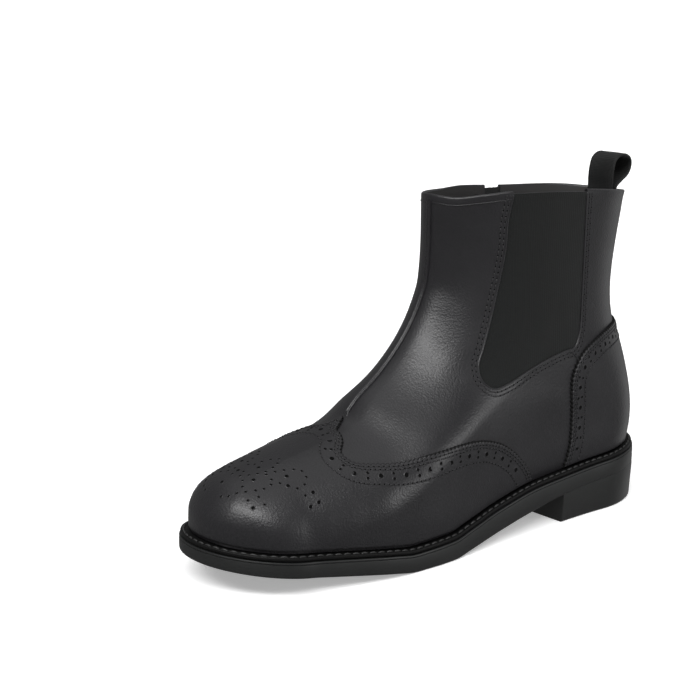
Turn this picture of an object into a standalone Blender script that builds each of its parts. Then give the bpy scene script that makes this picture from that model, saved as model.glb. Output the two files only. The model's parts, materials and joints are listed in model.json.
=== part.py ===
"""Brogue ankle boot for the left foot, with a zip on the inner side and an elastic gusset on the outer.

The boot is laid out on its last: x runs forward from the back of the sole, y to the wearer's left and
z up from the floor. At the end it moves so that the origin lies under the middle of the sole.
Tables hold shares of the driving sizes, one row for each section.
"""
import math
from bisect import bisect_right
from collections import namedtuple

import bmesh
import bpy
from mathutils import Matrix, Vector

# Driving sizes of the boot, in metres
SOLE_LENGTH = 0.270
BALL_WIDTH = 0.091
COLLAR_HEIGHT = 0.166
HEEL_LIFT = 0.0195
TOE_SPRING = 0.014
SOLE_THICKNESS = 0.0114

# Leather and rubber thicknesses, and what of the welt shows and lies under the upper
WALL = 0.0020
OVERLAY = 0.0012
WELT_THICKNESS = 0.0022
WELT_SHOW = 0.0048
WELT_INSET = 0.0007
WELT_LAP = 0.0022
INSOLE_THICKNESS = 0.0030
GAP = 0.0003

# Rounding of the last, as the depth behind its edge at which it reaches full width
TOE_ROUND = 0.0385
HEEL_ROUND = 0.042
SHAFT_ROUND = 0.060
SWELL_RISE = 0.014
SHAFT_BLEND = (0.24, 0.60)

LATERAL = 1
MEDIAL = -1

# The sole from above: half widths from the heel's axis, and how far the upper swells beyond its foot
Plan = namedtuple("Plan", "along lateral medial swell_lateral swell_medial")
SOLE_PLAN = (
    Plan(0.000, 0.365, 0.357, 0.016, 0.016),
    Plan(0.167, 0.365, 0.357, 0.016, 0.022),
    Plan(0.278, 0.383, 0.345, 0.016, 0.038),
    Plan(0.370, 0.403, 0.308, 0.016, 0.060),
    Plan(0.444, 0.422, 0.315, 0.016, 0.060),
    Plan(0.526, 0.455, 0.385, 0.013, 0.033),
    Plan(0.611, 0.480, 0.472, 0.011, 0.016),
    Plan(0.696, 0.483, 0.515, 0.009, 0.009),
    Plan(0.759, 0.463, 0.506, 0.007, 0.007),
    Plan(0.815, 0.436, 0.474, 0.005, 0.005),
    Plan(0.859, 0.414, 0.440, 0.004, 0.004),
    Plan(1.000, 0.410, 0.437, 0.004, 0.004),
)

# The sole from the side: its underside as shares of heel lift and toe spring, and its thickness
Side = namedtuple("Side", "along heel_rise toe_rise thickness")
SOLE_SIDE = (
    Side(0.000, 1.00, 0.00, 0.95),
    Side(0.274, 0.72, 0.00, 1.05),
    Side(0.370, 0.51, 0.00, 1.19),
    Side(0.444, 0.31, 0.00, 1.18),
    Side(0.519, 0.11, 0.00, 1.10),
    Side(0.563, 0.00, 0.00, 1.05),
    Side(0.650, 0.00, 0.00, 0.985),
    Side(0.704, 0.00, 0.15, 0.965),
    Side(0.796, 0.00, 0.41, 0.93),
    Side(0.878, 0.00, 0.63, 0.886),
    Side(1.000, 0.00, 1.00, 0.833),
)

# The upper's middle line in front, from the toe over the vamp and up the shin, ring by ring
Profile = namedtuple("Profile", "ring along height")
FRONT = (
    Profile(0.00, 0.9785, 0.146),
    Profile(0.05, 0.9770, 0.195),
    Profile(0.10, 0.9644, 0.245),
    Profile(0.15, 0.9352, 0.287),
    Profile(0.21, 0.8785, 0.319),
    Profile(0.29, 0.7989, 0.345),
    Profile(0.38, 0.7207, 0.373),
    Profile(0.43, 0.6889, 0.393),
    Profile(0.50, 0.6511, 0.447),
    Profile(0.57, 0.6063, 0.501),
    Profile(0.63, 0.5726, 0.552),
    Profile(0.70, 0.5385, 0.617),
    Profile(0.76, 0.5133, 0.686),
    Profile(0.82, 0.4974, 0.756),
    Profile(0.91, 0.4915, 0.872),
    Profile(1.00, 0.4904, 0.998),
)

# The upper's middle line at the back, from the heel seat up to the collar, on the same rings
BACK = (
    Profile(0.00, 0.0193, 0.184),
    Profile(0.08, 0.0144, 0.229),
    Profile(0.17, 0.0126, 0.277),
    Profile(0.29, 0.0148, 0.337),
    Profile(0.40, 0.0219, 0.404),
    Profile(0.49, 0.0319, 0.470),
    Profile(0.57, 0.0437, 0.530),
    Profile(0.645, 0.0541, 0.584),
    Profile(0.71, 0.0600, 0.639),
    Profile(0.76, 0.0611, 0.681),
    Profile(0.82, 0.0578, 0.747),
    Profile(0.885, 0.0507, 0.819),
    Profile(0.947, 0.0419, 0.892),
    Profile(1.00, 0.0352, 0.954),
)

# How far the collar's edge lies above a straight line from its back to its front
Collar = namedtuple("Collar", "share lateral medial")
COLLAR = (
    Collar(0.000, 0.0000, 0.0000),
    Collar(0.126, 0.0110, 0.0024),
    Collar(0.395, 0.0240, -0.0020),
    Collar(0.614, 0.0270, 0.0000),
    Collar(0.777, 0.0220, -0.0060),
    Collar(0.891, 0.0085, -0.0055),
    Collar(0.972, -0.0030, -0.0035),
    Collar(1.000, 0.0000, 0.0000),
)

# Half widths of the shaft, level by level
Shaft = namedtuple("Shaft", "height lateral medial")
SHAFT = (
    Shaft(0.00, 0.362, 0.362),
    Shaft(0.36, 0.360, 0.360),
    Shaft(0.51, 0.347, 0.347),
    Shaft(0.64, 0.340, 0.340),
    Shaft(0.78, 0.344, 0.344),
    Shaft(1.00, 0.354, 0.354),
)

# The middle of the boot from above
Centre = namedtuple("Centre", "along aside")
CENTRE = (
    Centre(0.0, 0.000),
    Centre(0.5, -0.018),
    Centre(1.0, -0.013),
)


# Cut lines in the side view, as shares of sole length and collar height
Corner = namedtuple("Corner", "along height")
WING_EDGE = (
    Corner(0.687, 0.420),
    Corner(0.725, 0.358),
    Corner(0.747, 0.331),
    Corner(0.741, 0.314),
    Corner(0.696, 0.304),
    Corner(0.661, 0.303),
    Corner(0.606, 0.314),
    Corner(0.540, 0.323),
    Corner(0.489, 0.318),
    Corner(0.436, 0.292),
    Corner(0.396, 0.249),
    Corner(0.367, 0.199),
    Corner(0.354, 0.169),
)
WING_FOOT = 0.346
COUNTER_EDGE = (
    Corner(0.045, 0.563),
    Corner(0.115, 0.558),
    Corner(0.159, 0.546),
    Corner(0.212, 0.516),
    Corner(0.233, 0.487),
    Corner(0.246, 0.446),
    Corner(0.248, 0.400),
    Corner(0.245, 0.340),
    Corner(0.246, 0.246),
    Corner(0.252, 0.200),
)
COUNTER_FOOT = 0.262
GUSSET_EDGE = (
    Corner(0.393, 1.080),
    Corner(0.391, 1.011),
    Corner(0.397, 0.934),
    Corner(0.400, 0.848),
    Corner(0.412, 0.747),
    Corner(0.429, 0.648),
    Corner(0.448, 0.570),
    Corner(0.463, 0.520),
    Corner(0.462, 0.482),
    Corner(0.443, 0.456),
    Corner(0.407, 0.463),
    Corner(0.357, 0.489),
    Corner(0.306, 0.512),
    Corner(0.262, 0.526),
    Corner(0.242, 0.530),
    Corner(0.231, 0.552),
    Corner(0.224, 0.590),
    Corner(0.221, 0.669),
    Corner(0.221, 0.790),
    Corner(0.223, 0.911),
    Corner(0.225, 1.080),
)

# The zip's middle line on the inner side, from above the collar down to its stop
ZIP_LINE = (
    Corner(0.242, 1.060),
    Corner(0.242, 0.990),
    Corner(0.244, 0.910),
    Corner(0.252, 0.799),
    Corner(0.269, 0.657),
    Corner(0.291, 0.530),
    Corner(0.312, 0.437),
    Corner(0.328, 0.357),
)
ZIP_OPENING = 0.0104
CHAIN_WIDTH = 0.0044
CHAIN_PROUD = 0.0010
SLIDER_HEIGHT = 0.925
SLIDER_LENGTH = 0.0125
SLIDER_WIDTH = 0.0088
SLIDER_THICKNESS = 0.0014
SLIDER_LIFT = 0.0014
HINGE_DROP = 0.0025
PIN_RADIUS = 0.0006
BARREL_RADIUS = 0.0014
BARREL_LENGTH = 0.0036
LUG_THICKNESS = 0.0012
LUG_REACH = 0.0010
PULL_LENGTH = 0.0200
PULL_WIDTH = 0.0078
PULL_NECK = 0.0030
PULL_THICKNESS = 0.0012

# Fabric fillings lie a little back from the leather's face
RECESS = 0.0004
FILLING = 0.0010

# Raised seams, with their section in shares of width and height, and the loop
SEAM_HEIGHT = 0.0008
SEAM_SECTION = ((-0.5, 0.0), (0.5, 0.0), (0.5, 0.4), (0.3, 1.0), (-0.3, 1.0), (-0.5, 0.4))
FRONT_SEAM_WIDTH = 0.0026
BACK_STAY_WIDTH = 0.0060
LOOP_WIDTH = 0.0170
LOOP_THICKNESS = 0.0016
LOOP_CLEARANCE = 0.0009
LOOP_STEPS = 4
LOOP_TOP_BEND = 0.5
SEAM_TOP = 0.990
FRONT_SEAM_START = 11
BACK_STAY_START = 15

# The loop's path from its outer end over the top to its inner end, from the top of the collar's inner face
LOOP_PATH = (
    Corner(0.002, -0.060),
    Corner(0.001, 0.000),
    Corner(-0.002, 0.018),
    Corner(-0.015, 0.036),
    Corner(-0.031, 0.055),
    Corner(-0.037, 0.080),
    Corner(-0.034, 0.100),
    Corner(-0.022, 0.112),
    Corner(-0.007, 0.112),
    Corner(0.004, 0.101),
    Corner(0.009, 0.080),
    Corner(0.0105, 0.050),
    Corner(0.0095, 0.018),
    Corner(0.0090, -0.010),
    Corner(0.0090, -0.060),
)

# The heel block and the soft edges of rubber
BREAST = 0.272
HEEL_TAPER = 0.0010
EDGE_SOFTENING = 0.0012

# Fineness of the meshes
RINGS = 23
COLUMNS = 22
PROFILE_STEPS = 120
CUTTER_REACH = 0.070
CUTTER_BEYOND = 0.1
CUTTER_TOP = 0.6
LEAST_SINE = 0.3
SIDE_START = 0.004
FOOT_STEPS = 16


def monotone(table, column):
    """Smooth curve through one column of a table, read along its first column, without overshoot."""
    keys = [row[0] for row in table]
    values = [getattr(row, column) for row in table]
    spans = [after - before for before, after in zip(keys, keys[1:])]
    rates = [(after - before) / span for before, after, span in zip(values, values[1:], spans)]
    slopes = [rates[0]]
    for before, after in zip(rates, rates[1:]):
        slopes.append(2 * before * after / (before + after) if before * after > 0 else 0.0)
    slopes.append(rates[-1])

    def curve(key):
        key = min(max(key, keys[0]), keys[-1])
        i = min(bisect_right(keys, key), len(keys) - 1) - 1
        t = (key - keys[i]) / spans[i]
        start = values[i] * (1 + 2 * t) + spans[i] * slopes[i] * t
        end = values[i + 1] * (3 - 2 * t) - spans[i] * slopes[i + 1] * (1 - t)
        return start * (1 - t) ** 2 + end * t ** 2

    return curve


SOLE_HALF = {LATERAL: monotone(SOLE_PLAN, "lateral"), MEDIAL: monotone(SOLE_PLAN, "medial")}
SWELL = {LATERAL: monotone(SOLE_PLAN, "swell_lateral"), MEDIAL: monotone(SOLE_PLAN, "swell_medial")}
HEEL_RISE = monotone(SOLE_SIDE, "heel_rise")
TOE_RISE = monotone(SOLE_SIDE, "toe_rise")
THICKNESS = monotone(SOLE_SIDE, "thickness")
FRONT_ALONG = monotone(FRONT, "along")
FRONT_HEIGHT = monotone(FRONT, "height")
BACK_ALONG = monotone(BACK, "along")
BACK_HEIGHT = monotone(BACK, "height")
COLLAR_LIFT = {LATERAL: monotone(COLLAR, "lateral"), MEDIAL: monotone(COLLAR, "medial")}
SHAFT_HALF = {LATERAL: monotone(SHAFT, "lateral"), MEDIAL: monotone(SHAFT, "medial")}
CENTRE_ASIDE = monotone(CENTRE, "aside")


def blend(start, end, share):
    return start + (end - start) * share


def smooth_step(value, low, high):
    share = min(max((value - low) / (high - low), 0.0), 1.0)
    return share * share * (3 - 2 * share)


def rounding(share):
    """Quarter circle: 0 at the edge and 1 from one round's depth inwards."""
    share = min(max(share, 0.0), 1.0)
    return math.sqrt(1 - (1 - share) ** 2)


def centre_line(along):
    return BALL_WIDTH * CENTRE_ASIDE(along / SOLE_LENGTH)


def ground(along):
    """Height of the outsole's underside: heel lift, arch, flat tread, toe spring."""
    share = along / SOLE_LENGTH
    return HEEL_LIFT * HEEL_RISE(share) + TOE_SPRING * TOE_RISE(share)


def welt_top(along):
    return ground(along) + SOLE_THICKNESS * THICKNESS(along / SOLE_LENGTH)


def sole_width(along, side):
    """Half width of the sole from the centre line, before its toe and heel are rounded."""
    return BALL_WIDTH * SOLE_HALF[side](along / SOLE_LENGTH) - side * centre_line(along)


def front_point(ring):
    return Vector((SOLE_LENGTH * FRONT_ALONG(ring), COLLAR_HEIGHT * FRONT_HEIGHT(ring)))


def back_point(ring):
    return Vector((SOLE_LENGTH * BACK_ALONG(ring), COLLAR_HEIGHT * BACK_HEIGHT(ring)))


FRONT_LINE = [front_point(step / PROFILE_STEPS) for step in range(PROFILE_STEPS + 1)]
BACK_LINE = [back_point(step / PROFILE_STEPS) for step in range(PROFILE_STEPS + 1)]


def depth_from(line, place):
    """Distance from a profile, in the side view."""
    nearest = 1.0
    for start, end in zip(line, line[1:]):
        run = end - start
        share = min(max((place - start).dot(run) / run.length_squared, 0.0), 1.0)
        nearest = min(nearest, (start + run * share - place).length)
    return nearest


def upper_width(place, side):
    """Half width of the upper at one place of its side view, measured from the centre line."""
    along, height = place
    foot = sole_width(along, side) - WELT_SHOW
    climb = min(max((height - welt_top(along)) / SWELL_RISE, 0.0), 1.0)
    foot += BALL_WIDTH * SWELL[side](along / SOLE_LENGTH) * (1 - (1 - climb) ** 2)
    level = height / COLLAR_HEIGHT
    shaft = BALL_WIDTH * SHAFT_HALF[side](level) - side * centre_line(along)
    mix = smooth_step(level, *SHAFT_BLEND)
    front = depth_from(FRONT_LINE, place) / blend(TOE_ROUND - WELT_SHOW, SHAFT_ROUND, mix)
    back = depth_from(BACK_LINE, place) / blend(HEEL_ROUND - WELT_SHOW, SHAFT_ROUND, mix)
    return blend(foot, shaft, mix) * rounding(front) * rounding(back)


def ring_place(ring, share, side):
    """Place in the side view on one ring, a share of the way from the back to the front."""
    place = back_point(ring).lerp(front_point(ring), share)
    foot = back_point(0).lerp(front_point(0), share)
    feather = welt_top(foot.x) + GAP - foot.y
    collar = COLLAR_HEIGHT * COLLAR_LIFT[side](share)
    place.y += feather * (1 - ring) ** 2 + collar * ring ** 4
    return place


def upper_point(ring, share, side):
    place = ring_place(ring, share, side)
    aside = centre_line(place.x)
    if 0.0 < share < 1.0:
        aside += side * upper_width(place, side)
    return Vector((place.x, aside, place.y))


def stations(count):
    """Shares from back to front, close together at both ends, where the plan turns round."""
    return [(1 - math.cos(math.pi * step / count)) / 2 for step in range(count + 1)]


def new_object(name, mesh, material_name, cutter=False):
    thing = bpy.data.objects.new(name, mesh)
    if cutter:
        CUTTERS.objects.link(thing)
        thing.hide_render = True
        thing.display_type = "WIRE"
    else:
        PARTS.objects.link(thing)
        mesh.materials.append(bpy.data.materials[material_name])
    return thing


def finish_mesh(name, bm, closed=True):
    """Turn a bmesh into a mesh, with doubled points at its ends welded and its faces pointing out."""
    bmesh.ops.remove_doubles(bm, verts=bm.verts, dist=0.000001)
    if closed:
        bmesh.ops.recalc_face_normals(bm, faces=bm.faces)
    mesh = bpy.data.meshes.new(name)
    bm.to_mesh(mesh)
    bm.free()
    return mesh


def skin_mesh(name, proud=0.0):
    """The upper's open outer surface, moved out along its normals where it is proud."""
    bm = bmesh.new()
    shares = stations(COLUMNS)
    for side in (LATERAL, MEDIAL):
        grid = []
        for step in range(RINGS + 1):
            ring = step / RINGS
            grid.append([bm.verts.new(upper_point(ring, share, side)) for share in shares])
        for low, high in zip(grid, grid[1:]):
            for i in range(COLUMNS):
                corners = [low[i], high[i], high[i + 1], low[i + 1]]
                bm.faces.new(corners if side == LATERAL else corners[::-1])
    bmesh.ops.remove_doubles(bm, verts=bm.verts, dist=0.000001)
    bmesh.ops.triangulate(bm, faces=bm.faces, quad_method="FIXED")
    bm.normal_update()
    moved = [(vert, vert.normal.copy()) for vert in bm.verts]
    for vert, normal in moved:
        vert.co += normal * proud
    return finish_mesh(name, bm, closed=False)


def solidify(thing, thickness, offset):
    shell = thing.modifiers.new("Wall", "SOLIDIFY")
    shell.thickness = thickness
    shell.offset = offset
    shell.use_even_offset = True


def cut(thing, cutter, operation="DIFFERENCE"):
    boolean = thing.modifiers.new(cutter.name, "BOOLEAN")
    boolean.operation = operation
    boolean.solver = "EXACT"
    boolean.object = cutter


def prism(name, corners, start, end):
    """A cutter: an outline in the side view, carried across the boot."""
    bm = bmesh.new()
    face = bm.faces.new([bm.verts.new((along, start, height)) for along, height in corners])
    grown = bmesh.ops.extrude_face_region(bm, geom=[face])["geom"]
    for item in grown:
        if isinstance(item, bmesh.types.BMVert):
            item.co.y = end
    return new_object(name, finish_mesh(name, bm), None, cutter=True)


def placed(corners):
    return [(SOLE_LENGTH * corner.along, COLLAR_HEIGHT * corner.height) for corner in corners]


def shrunk(corners, margin):
    """An outline moved inwards by a margin, for a piece that fits a cut-out."""
    turns = list(zip(corners[-1:] + corners[:-1], corners, corners[1:] + corners[:1]))
    area = sum(a[0] * b[1] - b[0] * a[1] for a, b, _ in turns)
    inward = 1 if area > 0 else -1
    moved = []
    for before, here, after in turns:
        first = (Vector(here) - Vector(before)).normalized()
        second = (Vector(after) - Vector(here)).normalized()
        normal = Vector((-first.y - second.y, first.x + second.x)).normalized()
        fit = margin / max(normal.dot(Vector((-first.y, first.x))), LEAST_SINE)
        moved.append(tuple(Vector(here) + normal * inward * fit))
    return moved


def band_outline(corners, width):
    """Outline of a band of one width along a line in the side view."""
    line = [Vector(corner) for corner in corners]
    left = []
    right = []
    for i, here in enumerate(line):
        run = (line[min(i + 1, len(line) - 1)] - line[max(i - 1, 0)]).normalized()
        normal = Vector((-run.y, run.x))
        left.append(tuple(here + normal * width / 2))
        right.append(tuple(here - normal * width / 2))
    return left + right[::-1]


def slab(name, levels, start, end, margin=0.0, round_front=True):
    """A flat piece of the sole, lofted through levels that each have an inset and a height."""
    bm = bmesh.new()
    rows = []
    for inset, height in levels:
        row = []
        for share in stations(COLUMNS) if round_front else half_stations(COLUMNS):
            first = start + inset
            last = end - inset if round_front else end
            along = blend(first, last, share)
            for side in (LATERAL, MEDIAL):
                wide = sole_width(along, side) - margin - inset
                wide *= rounding((along - first) / (HEEL_ROUND - margin - inset))
                if round_front:
                    wide *= rounding((last - along) / (TOE_ROUND - margin - inset))
                row.append(bm.verts.new((along, centre_line(along) + side * wide, height(along))))
        rows.append(row)
    for low, high in zip(rows, rows[1:]):
        for i in range(0, len(low) - 2, 2):
            bm.faces.new((low[i], low[i + 2], high[i + 2], high[i]))
            bm.faces.new((low[i + 1], high[i + 1], high[i + 3], low[i + 3]))
        bm.faces.new((low[-2], low[-1], high[-1], high[-2]))
    for row in (rows[0], rows[-1]):
        for i in range(0, len(row) - 2, 2):
            bm.faces.new((row[i], row[i + 2], row[i + 3], row[i + 1]))
    return finish_mesh(name, bm)


def half_stations(count):
    """Shares from back to front, close together at the back alone."""
    return [1 - math.cos(math.pi / 2 * step / count) for step in range(count + 1)]


def make_outsole():
    def top(along):
        return welt_top(along) - WELT_THICKNESS - GAP

    soft = EDGE_SOFTENING
    levels = (
        (soft, ground),
        (0.0, lambda along: ground(along) + soft),
        (0.0, lambda along: top(along) - soft / 2),
        (soft / 2, top),
    )
    return new_object("outsole", slab("outsole", levels, 0.0, SOLE_LENGTH), "dark rubber")


def make_heel():
    soft = EDGE_SOFTENING
    breast = SOLE_LENGTH * BREAST
    levels = (
        (HEEL_TAPER + soft, lambda along: 0.0),
        (HEEL_TAPER, lambda along: soft),
        (0.0, lambda along: ground(along) - GAP),
    )
    mesh = slab("heel", levels, 0.0, breast, round_front=False)
    return new_object("heel", mesh, "dark rubber")


def make_welt():
    """A flat ring on the outsole, that carries the upper's edge."""
    bm = bmesh.new()
    rows = []
    inner = WELT_SHOW + WALL + WELT_LAP
    for inset, lift in ((inner, GAP), (WELT_INSET, GAP), (WELT_INSET, WELT_THICKNESS), (inner, WELT_THICKNESS)):
        row = []
        for side in (LATERAL, MEDIAL):
            shares = stations(COLUMNS)
            for share in shares if side == LATERAL else shares[::-1]:
                along = blend(inset, SOLE_LENGTH - inset, share)
                wide = sole_width(along, side) - inset
                back = rounding((along - inset) / (HEEL_ROUND - inset))
                front = rounding((SOLE_LENGTH - inset - along) / (TOE_ROUND - inset))
                height = welt_top(along) - WELT_THICKNESS - GAP + lift
                aside = centre_line(along) + side * wide * back * front
                row.append(bm.verts.new((along, aside, height)))
        rows.append(row)
    for low, high in zip(rows, rows[1:] + rows[:1]):
        for i in range(len(low)):
            after = (i + 1) % len(low)
            if (low[i].co - low[after].co).length > 0.000001:
                bm.faces.new((low[i], low[after], high[after], high[i]))
    return new_object("welt", finish_mesh("welt", bm), "welt")


def make_insole():
    inset = WALL + 2 * GAP
    levels = (
        (inset, lambda along: welt_top(along) + GAP),
        (inset, lambda along: welt_top(along) + GAP + INSOLE_THICKNESS),
    )
    mesh = slab("insole", levels, back_point(0).x, front_point(0).x, margin=WELT_SHOW)
    return new_object("insole", mesh, "lining")


def shell_piece(name, material_name, proud, thickness, outline, reach):
    """A piece cut out between two larger forms of the upper's own shape."""
    piece = new_object(name, skin_mesh(name, proud), material_name)
    solidify(piece, thickness, 1)
    cut(piece, prism(name + "_outline", outline, *reach), "INTERSECT")
    return piece


def make_upper():
    upper = new_object("upper", skin_mesh("upper"), "black leather")
    solidify(upper, WALL, -1)
    cut(upper, prism("gusset_opening", placed(GUSSET_EDGE), SIDE_START, CUTTER_REACH))
    opening = band_outline(placed(ZIP_LINE), ZIP_OPENING)
    cut(upper, prism("zip_opening", opening, -CUTTER_REACH, -SIDE_START))
    return upper


def foot_line(start, end):
    """Lower edge of the overlays in the side view, just above the welt."""
    places = [blend(start, end, step / FOOT_STEPS) for step in range(FOOT_STEPS + 1)]
    return [(along, welt_top(along) + 2 * GAP) for along in places]


def make_overlays():
    """The winged toe cap and the heel counter, one leather's thickness proud of the upper."""
    beyond = SOLE_LENGTH * (1 + CUTTER_BEYOND)
    behind = -SOLE_LENGTH * CUTTER_BEYOND
    above = COLLAR_HEIGHT * CUTTER_TOP
    across = (-CUTTER_REACH, CUTTER_REACH)
    wing = [(SOLE_LENGTH * WING_EDGE[0].along, above)] + placed(WING_EDGE)
    wing += foot_line(SOLE_LENGTH * WING_FOOT, beyond) + [(beyond, above)]
    shell_piece("wing_cap", "black leather", GAP, OVERLAY, wing, across)
    counter = [(behind, COLLAR_HEIGHT * COUNTER_EDGE[0].height)] + placed(COUNTER_EDGE)
    counter += foot_line(SOLE_LENGTH * COUNTER_FOOT, behind)
    shell_piece("heel_counter", "black leather", GAP, OVERLAY, counter, across)


def make_gusset():
    outline = shrunk(placed(GUSSET_EDGE), GAP)
    reach = (SIDE_START, CUTTER_REACH)
    shell_piece("gusset", "elastic", -RECESS - FILLING, FILLING, outline, reach)


def make_zip():
    """The tape that closes the inner slit, and the chain of teeth that stands up along it."""
    reach = (-CUTTER_REACH, -SIDE_START)
    tape = shrunk(band_outline(placed(ZIP_LINE), ZIP_OPENING), GAP)
    shell_piece("zip_tape", "zip tape", -RECESS - FILLING, FILLING, tape, reach)
    chain = shrunk(band_outline(placed(ZIP_LINE), CHAIN_WIDTH), GAP)
    shell_piece("zip_chain", "zip metal", GAP - RECESS, CHAIN_PROUD, chain, reach)


def zip_place(height):
    """Point on the upper's inner side, on the zip's middle line at a height."""
    line = placed(ZIP_LINE)
    along = line[0][0]
    for (high_along, high), (low_along, low) in zip(line, line[1:]):
        if low <= height <= high:
            along = blend(low_along, high_along, (height - low) / (high - low))
    aside = centre_line(along) - upper_width(Vector((along, height)), MEDIAL)
    return Vector((along, aside, height))


def box_into(bm, size, middle):
    grown = bmesh.ops.create_cube(bm, size=1.0, matrix=Matrix.Diagonal((*size, 1.0)))
    bmesh.ops.translate(bm, verts=grown["verts"], vec=middle)


def cylinder_into(bm, radius, length, middle):
    """A cylinder along x."""
    turn = Matrix.Translation(middle) @ Matrix.Rotation(math.pi / 2, 4, "Y")
    bmesh.ops.create_cone(bm, cap_ends=True, segments=16, radius1=radius, radius2=radius,
                          depth=length, matrix=turn)


def box_object(name, size, middle, material_name, cutter=False):
    bm = bmesh.new()
    box_into(bm, size, middle)
    return new_object(name, finish_mesh(name, bm), material_name, cutter)


def cylinder_object(name, radius, length, middle, material_name, cutter=False):
    bm = bmesh.new()
    cylinder_into(bm, radius, length, middle)
    return new_object(name, finish_mesh(name, bm), material_name, cutter)


def round_edges(thing, width):
    edges = thing.modifiers.new("Edges", "BEVEL")
    edges.width = width
    edges.segments = 2
    edges.limit_method = "ANGLE"


def make_slider():
    """The zip's slider: a plate over the chain, two lugs and the pin that the pull hangs on."""
    seat = zip_place(COLLAR_HEIGHT * SLIDER_HEIGHT)
    plate_face = SLIDER_LIFT + SLIDER_THICKNESS
    plate_middle = (0, -(SLIDER_LIFT + plate_face) / 2, 0)
    plate = box_object("zip_slider", (SLIDER_WIDTH, SLIDER_THICKNESS, SLIDER_LENGTH), plate_middle, "zip metal")
    round_edges(plate, SLIDER_THICKNESS / 3)
    axis_out = plate_face + GAP + BARREL_RADIUS
    lug_height = axis_out + LUG_REACH - plate_face + PIN_RADIUS
    lug_middle_out = plate_face + lug_height / 2 - PIN_RADIUS
    for side in (1, -1):
        lug_aside = side * (BARREL_LENGTH / 2 + GAP + LUG_THICKNESS / 2)
        lug = box_object("lug_" + ("front" if side > 0 else "back"),
                         (LUG_THICKNESS, lug_height, 2 * LUG_REACH),
                         (lug_aside, -lug_middle_out, -HINGE_DROP), None, cutter=True)
        lug.location = seat
        cut(plate, lug, "UNION")
    pin_length = BARREL_LENGTH + 2 * (GAP + LUG_THICKNESS / 2)
    pin = cylinder_object("pin", PIN_RADIUS, pin_length, (0, -axis_out, -HINGE_DROP), None, cutter=True)
    pin.location = seat
    cut(plate, pin, "UNION")
    plate.location = seat
    return seat + Vector((0, -axis_out, -HINGE_DROP))


def make_pull(axis):
    """The pull tab, hanging from a barrel that turns on the slider's pin."""
    barrel = cylinder_object("zip_pull", BARREL_RADIUS, BARREL_LENGTH, (0, 0, 0), "zip metal")
    tab = box_object("tab", (PULL_WIDTH, PULL_THICKNESS, PULL_LENGTH),
                     (0, 0, -BARREL_RADIUS - GAP - PULL_LENGTH / 2), None, cutter=True)
    round_edges(tab, PULL_THICKNESS / 4)
    neck = box_object("tab_neck", (PULL_NECK, PULL_THICKNESS, 2 * BARREL_RADIUS),
                      (0, 0, -BARREL_RADIUS), None, cutter=True)
    bore = cylinder_object("tab_bore", PIN_RADIUS + GAP, BARREL_LENGTH * 2, (0, 0, 0), None, cutter=True)
    cut(barrel, neck, "UNION")
    cut(barrel, tab, "UNION")
    cut(barrel, bore)
    for thing in (barrel, tab, neck, bore):
        thing.location = axis


def strip_mesh(name, sections):
    """A closed strip lofted through sections that each have the same number of points."""
    bm = bmesh.new()
    rows = [[bm.verts.new(point) for point in section] for section in sections]
    for low, high in zip(rows, rows[1:]):
        for i in range(len(low)):
            after = (i + 1) % len(low)
            bm.faces.new((low[i], low[after], high[after], high[i]))
    bm.faces.new(rows[0])
    bm.faces.new(rows[-1])
    return finish_mesh(name, bm)


def make_seam(name, profile, outward, first_step, top, width):
    """A raised seam along the upper's middle line, flat below and rounded above, ring by ring."""
    sections = []
    for ring in [step / RINGS for step in range(first_step, RINGS)] + [top]:
        reach = 0.5 / RINGS
        tangent = (profile(min(ring + reach, 1.0)) - profile(ring - reach)).normalized()
        normal = Vector((tangent.y, -tangent.x)) * outward
        foot = profile(ring)
        section = []
        for aside, proud in SEAM_SECTION:
            place = foot + normal * (GAP + SEAM_HEIGHT * proud)
            section.append((place.x, centre_line(foot.x) + width * aside, place.y))
        sections.append(section)
    new_object(name, strip_mesh(name, sections), "black leather")


def make_loop():
    """The pull loop: both ends lie inside the collar, and its bow stands up and back over it."""
    wall = back_point(1)
    start = Vector((wall.x + WALL + LOOP_CLEARANCE + LOOP_THICKNESS / 2, wall.y))
    path = [start + Vector((SOLE_LENGTH * step.along, COLLAR_HEIGHT * step.height)) for step in LOOP_PATH]
    for place in path:
        place.x += back_at(place.y) - wall.x
    top = max(place.y for place in path)
    across = [LOOP_WIDTH * (step / LOOP_STEPS - 0.5) for step in range(LOOP_STEPS + 1)]
    sections = []
    for i, here in enumerate(path):
        run = (path[min(i + 1, len(path) - 1)] - path[max(i - 1, 0)]).normalized()
        normal = Vector((-run.y, run.x)) * LOOP_THICKNESS / 2
        bend = blend(1.0, LOOP_TOP_BEND, smooth_step(here.y, wall.y, top))
        section = []
        for face, row in ((here + normal, across), (here - normal, across[::-1])):
            section += [(face.x + bend * collar_bow(aside), aside, face.y) for aside in row]
        sections.append(section)
    new_object("pull_loop", strip_mesh("pull_loop", sections), "webbing")


def back_at(height):
    """Where the back profile lies at a height, and at its top for all that is above."""
    for low, high in zip(BACK_LINE, BACK_LINE[1:]):
        if low.y <= height <= high.y:
            return blend(low.x, high.x, (height - low.y) / (high.y - low.y))
    return BACK_LINE[-1].x


def collar_bow(aside):
    """How far the back of the collar has come forward at a distance from the middle."""
    share = aside / (BALL_WIDTH * SHAFT_HALF[LATERAL](1) - WALL)
    return SHAFT_ROUND * (1 - math.sqrt(1 - share * share))


def make_material(name, colour, roughness, metallic=0.0):
    material = bpy.data.materials.new(name)
    material.use_nodes = True
    shader = material.node_tree.nodes["Principled BSDF"]
    shader.inputs["Base Color"].default_value = (*colour, 1.0)
    shader.inputs["Roughness"].default_value = roughness
    shader.inputs["Metallic"].default_value = metallic
    material.diffuse_color = (*colour, 1.0)


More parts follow.
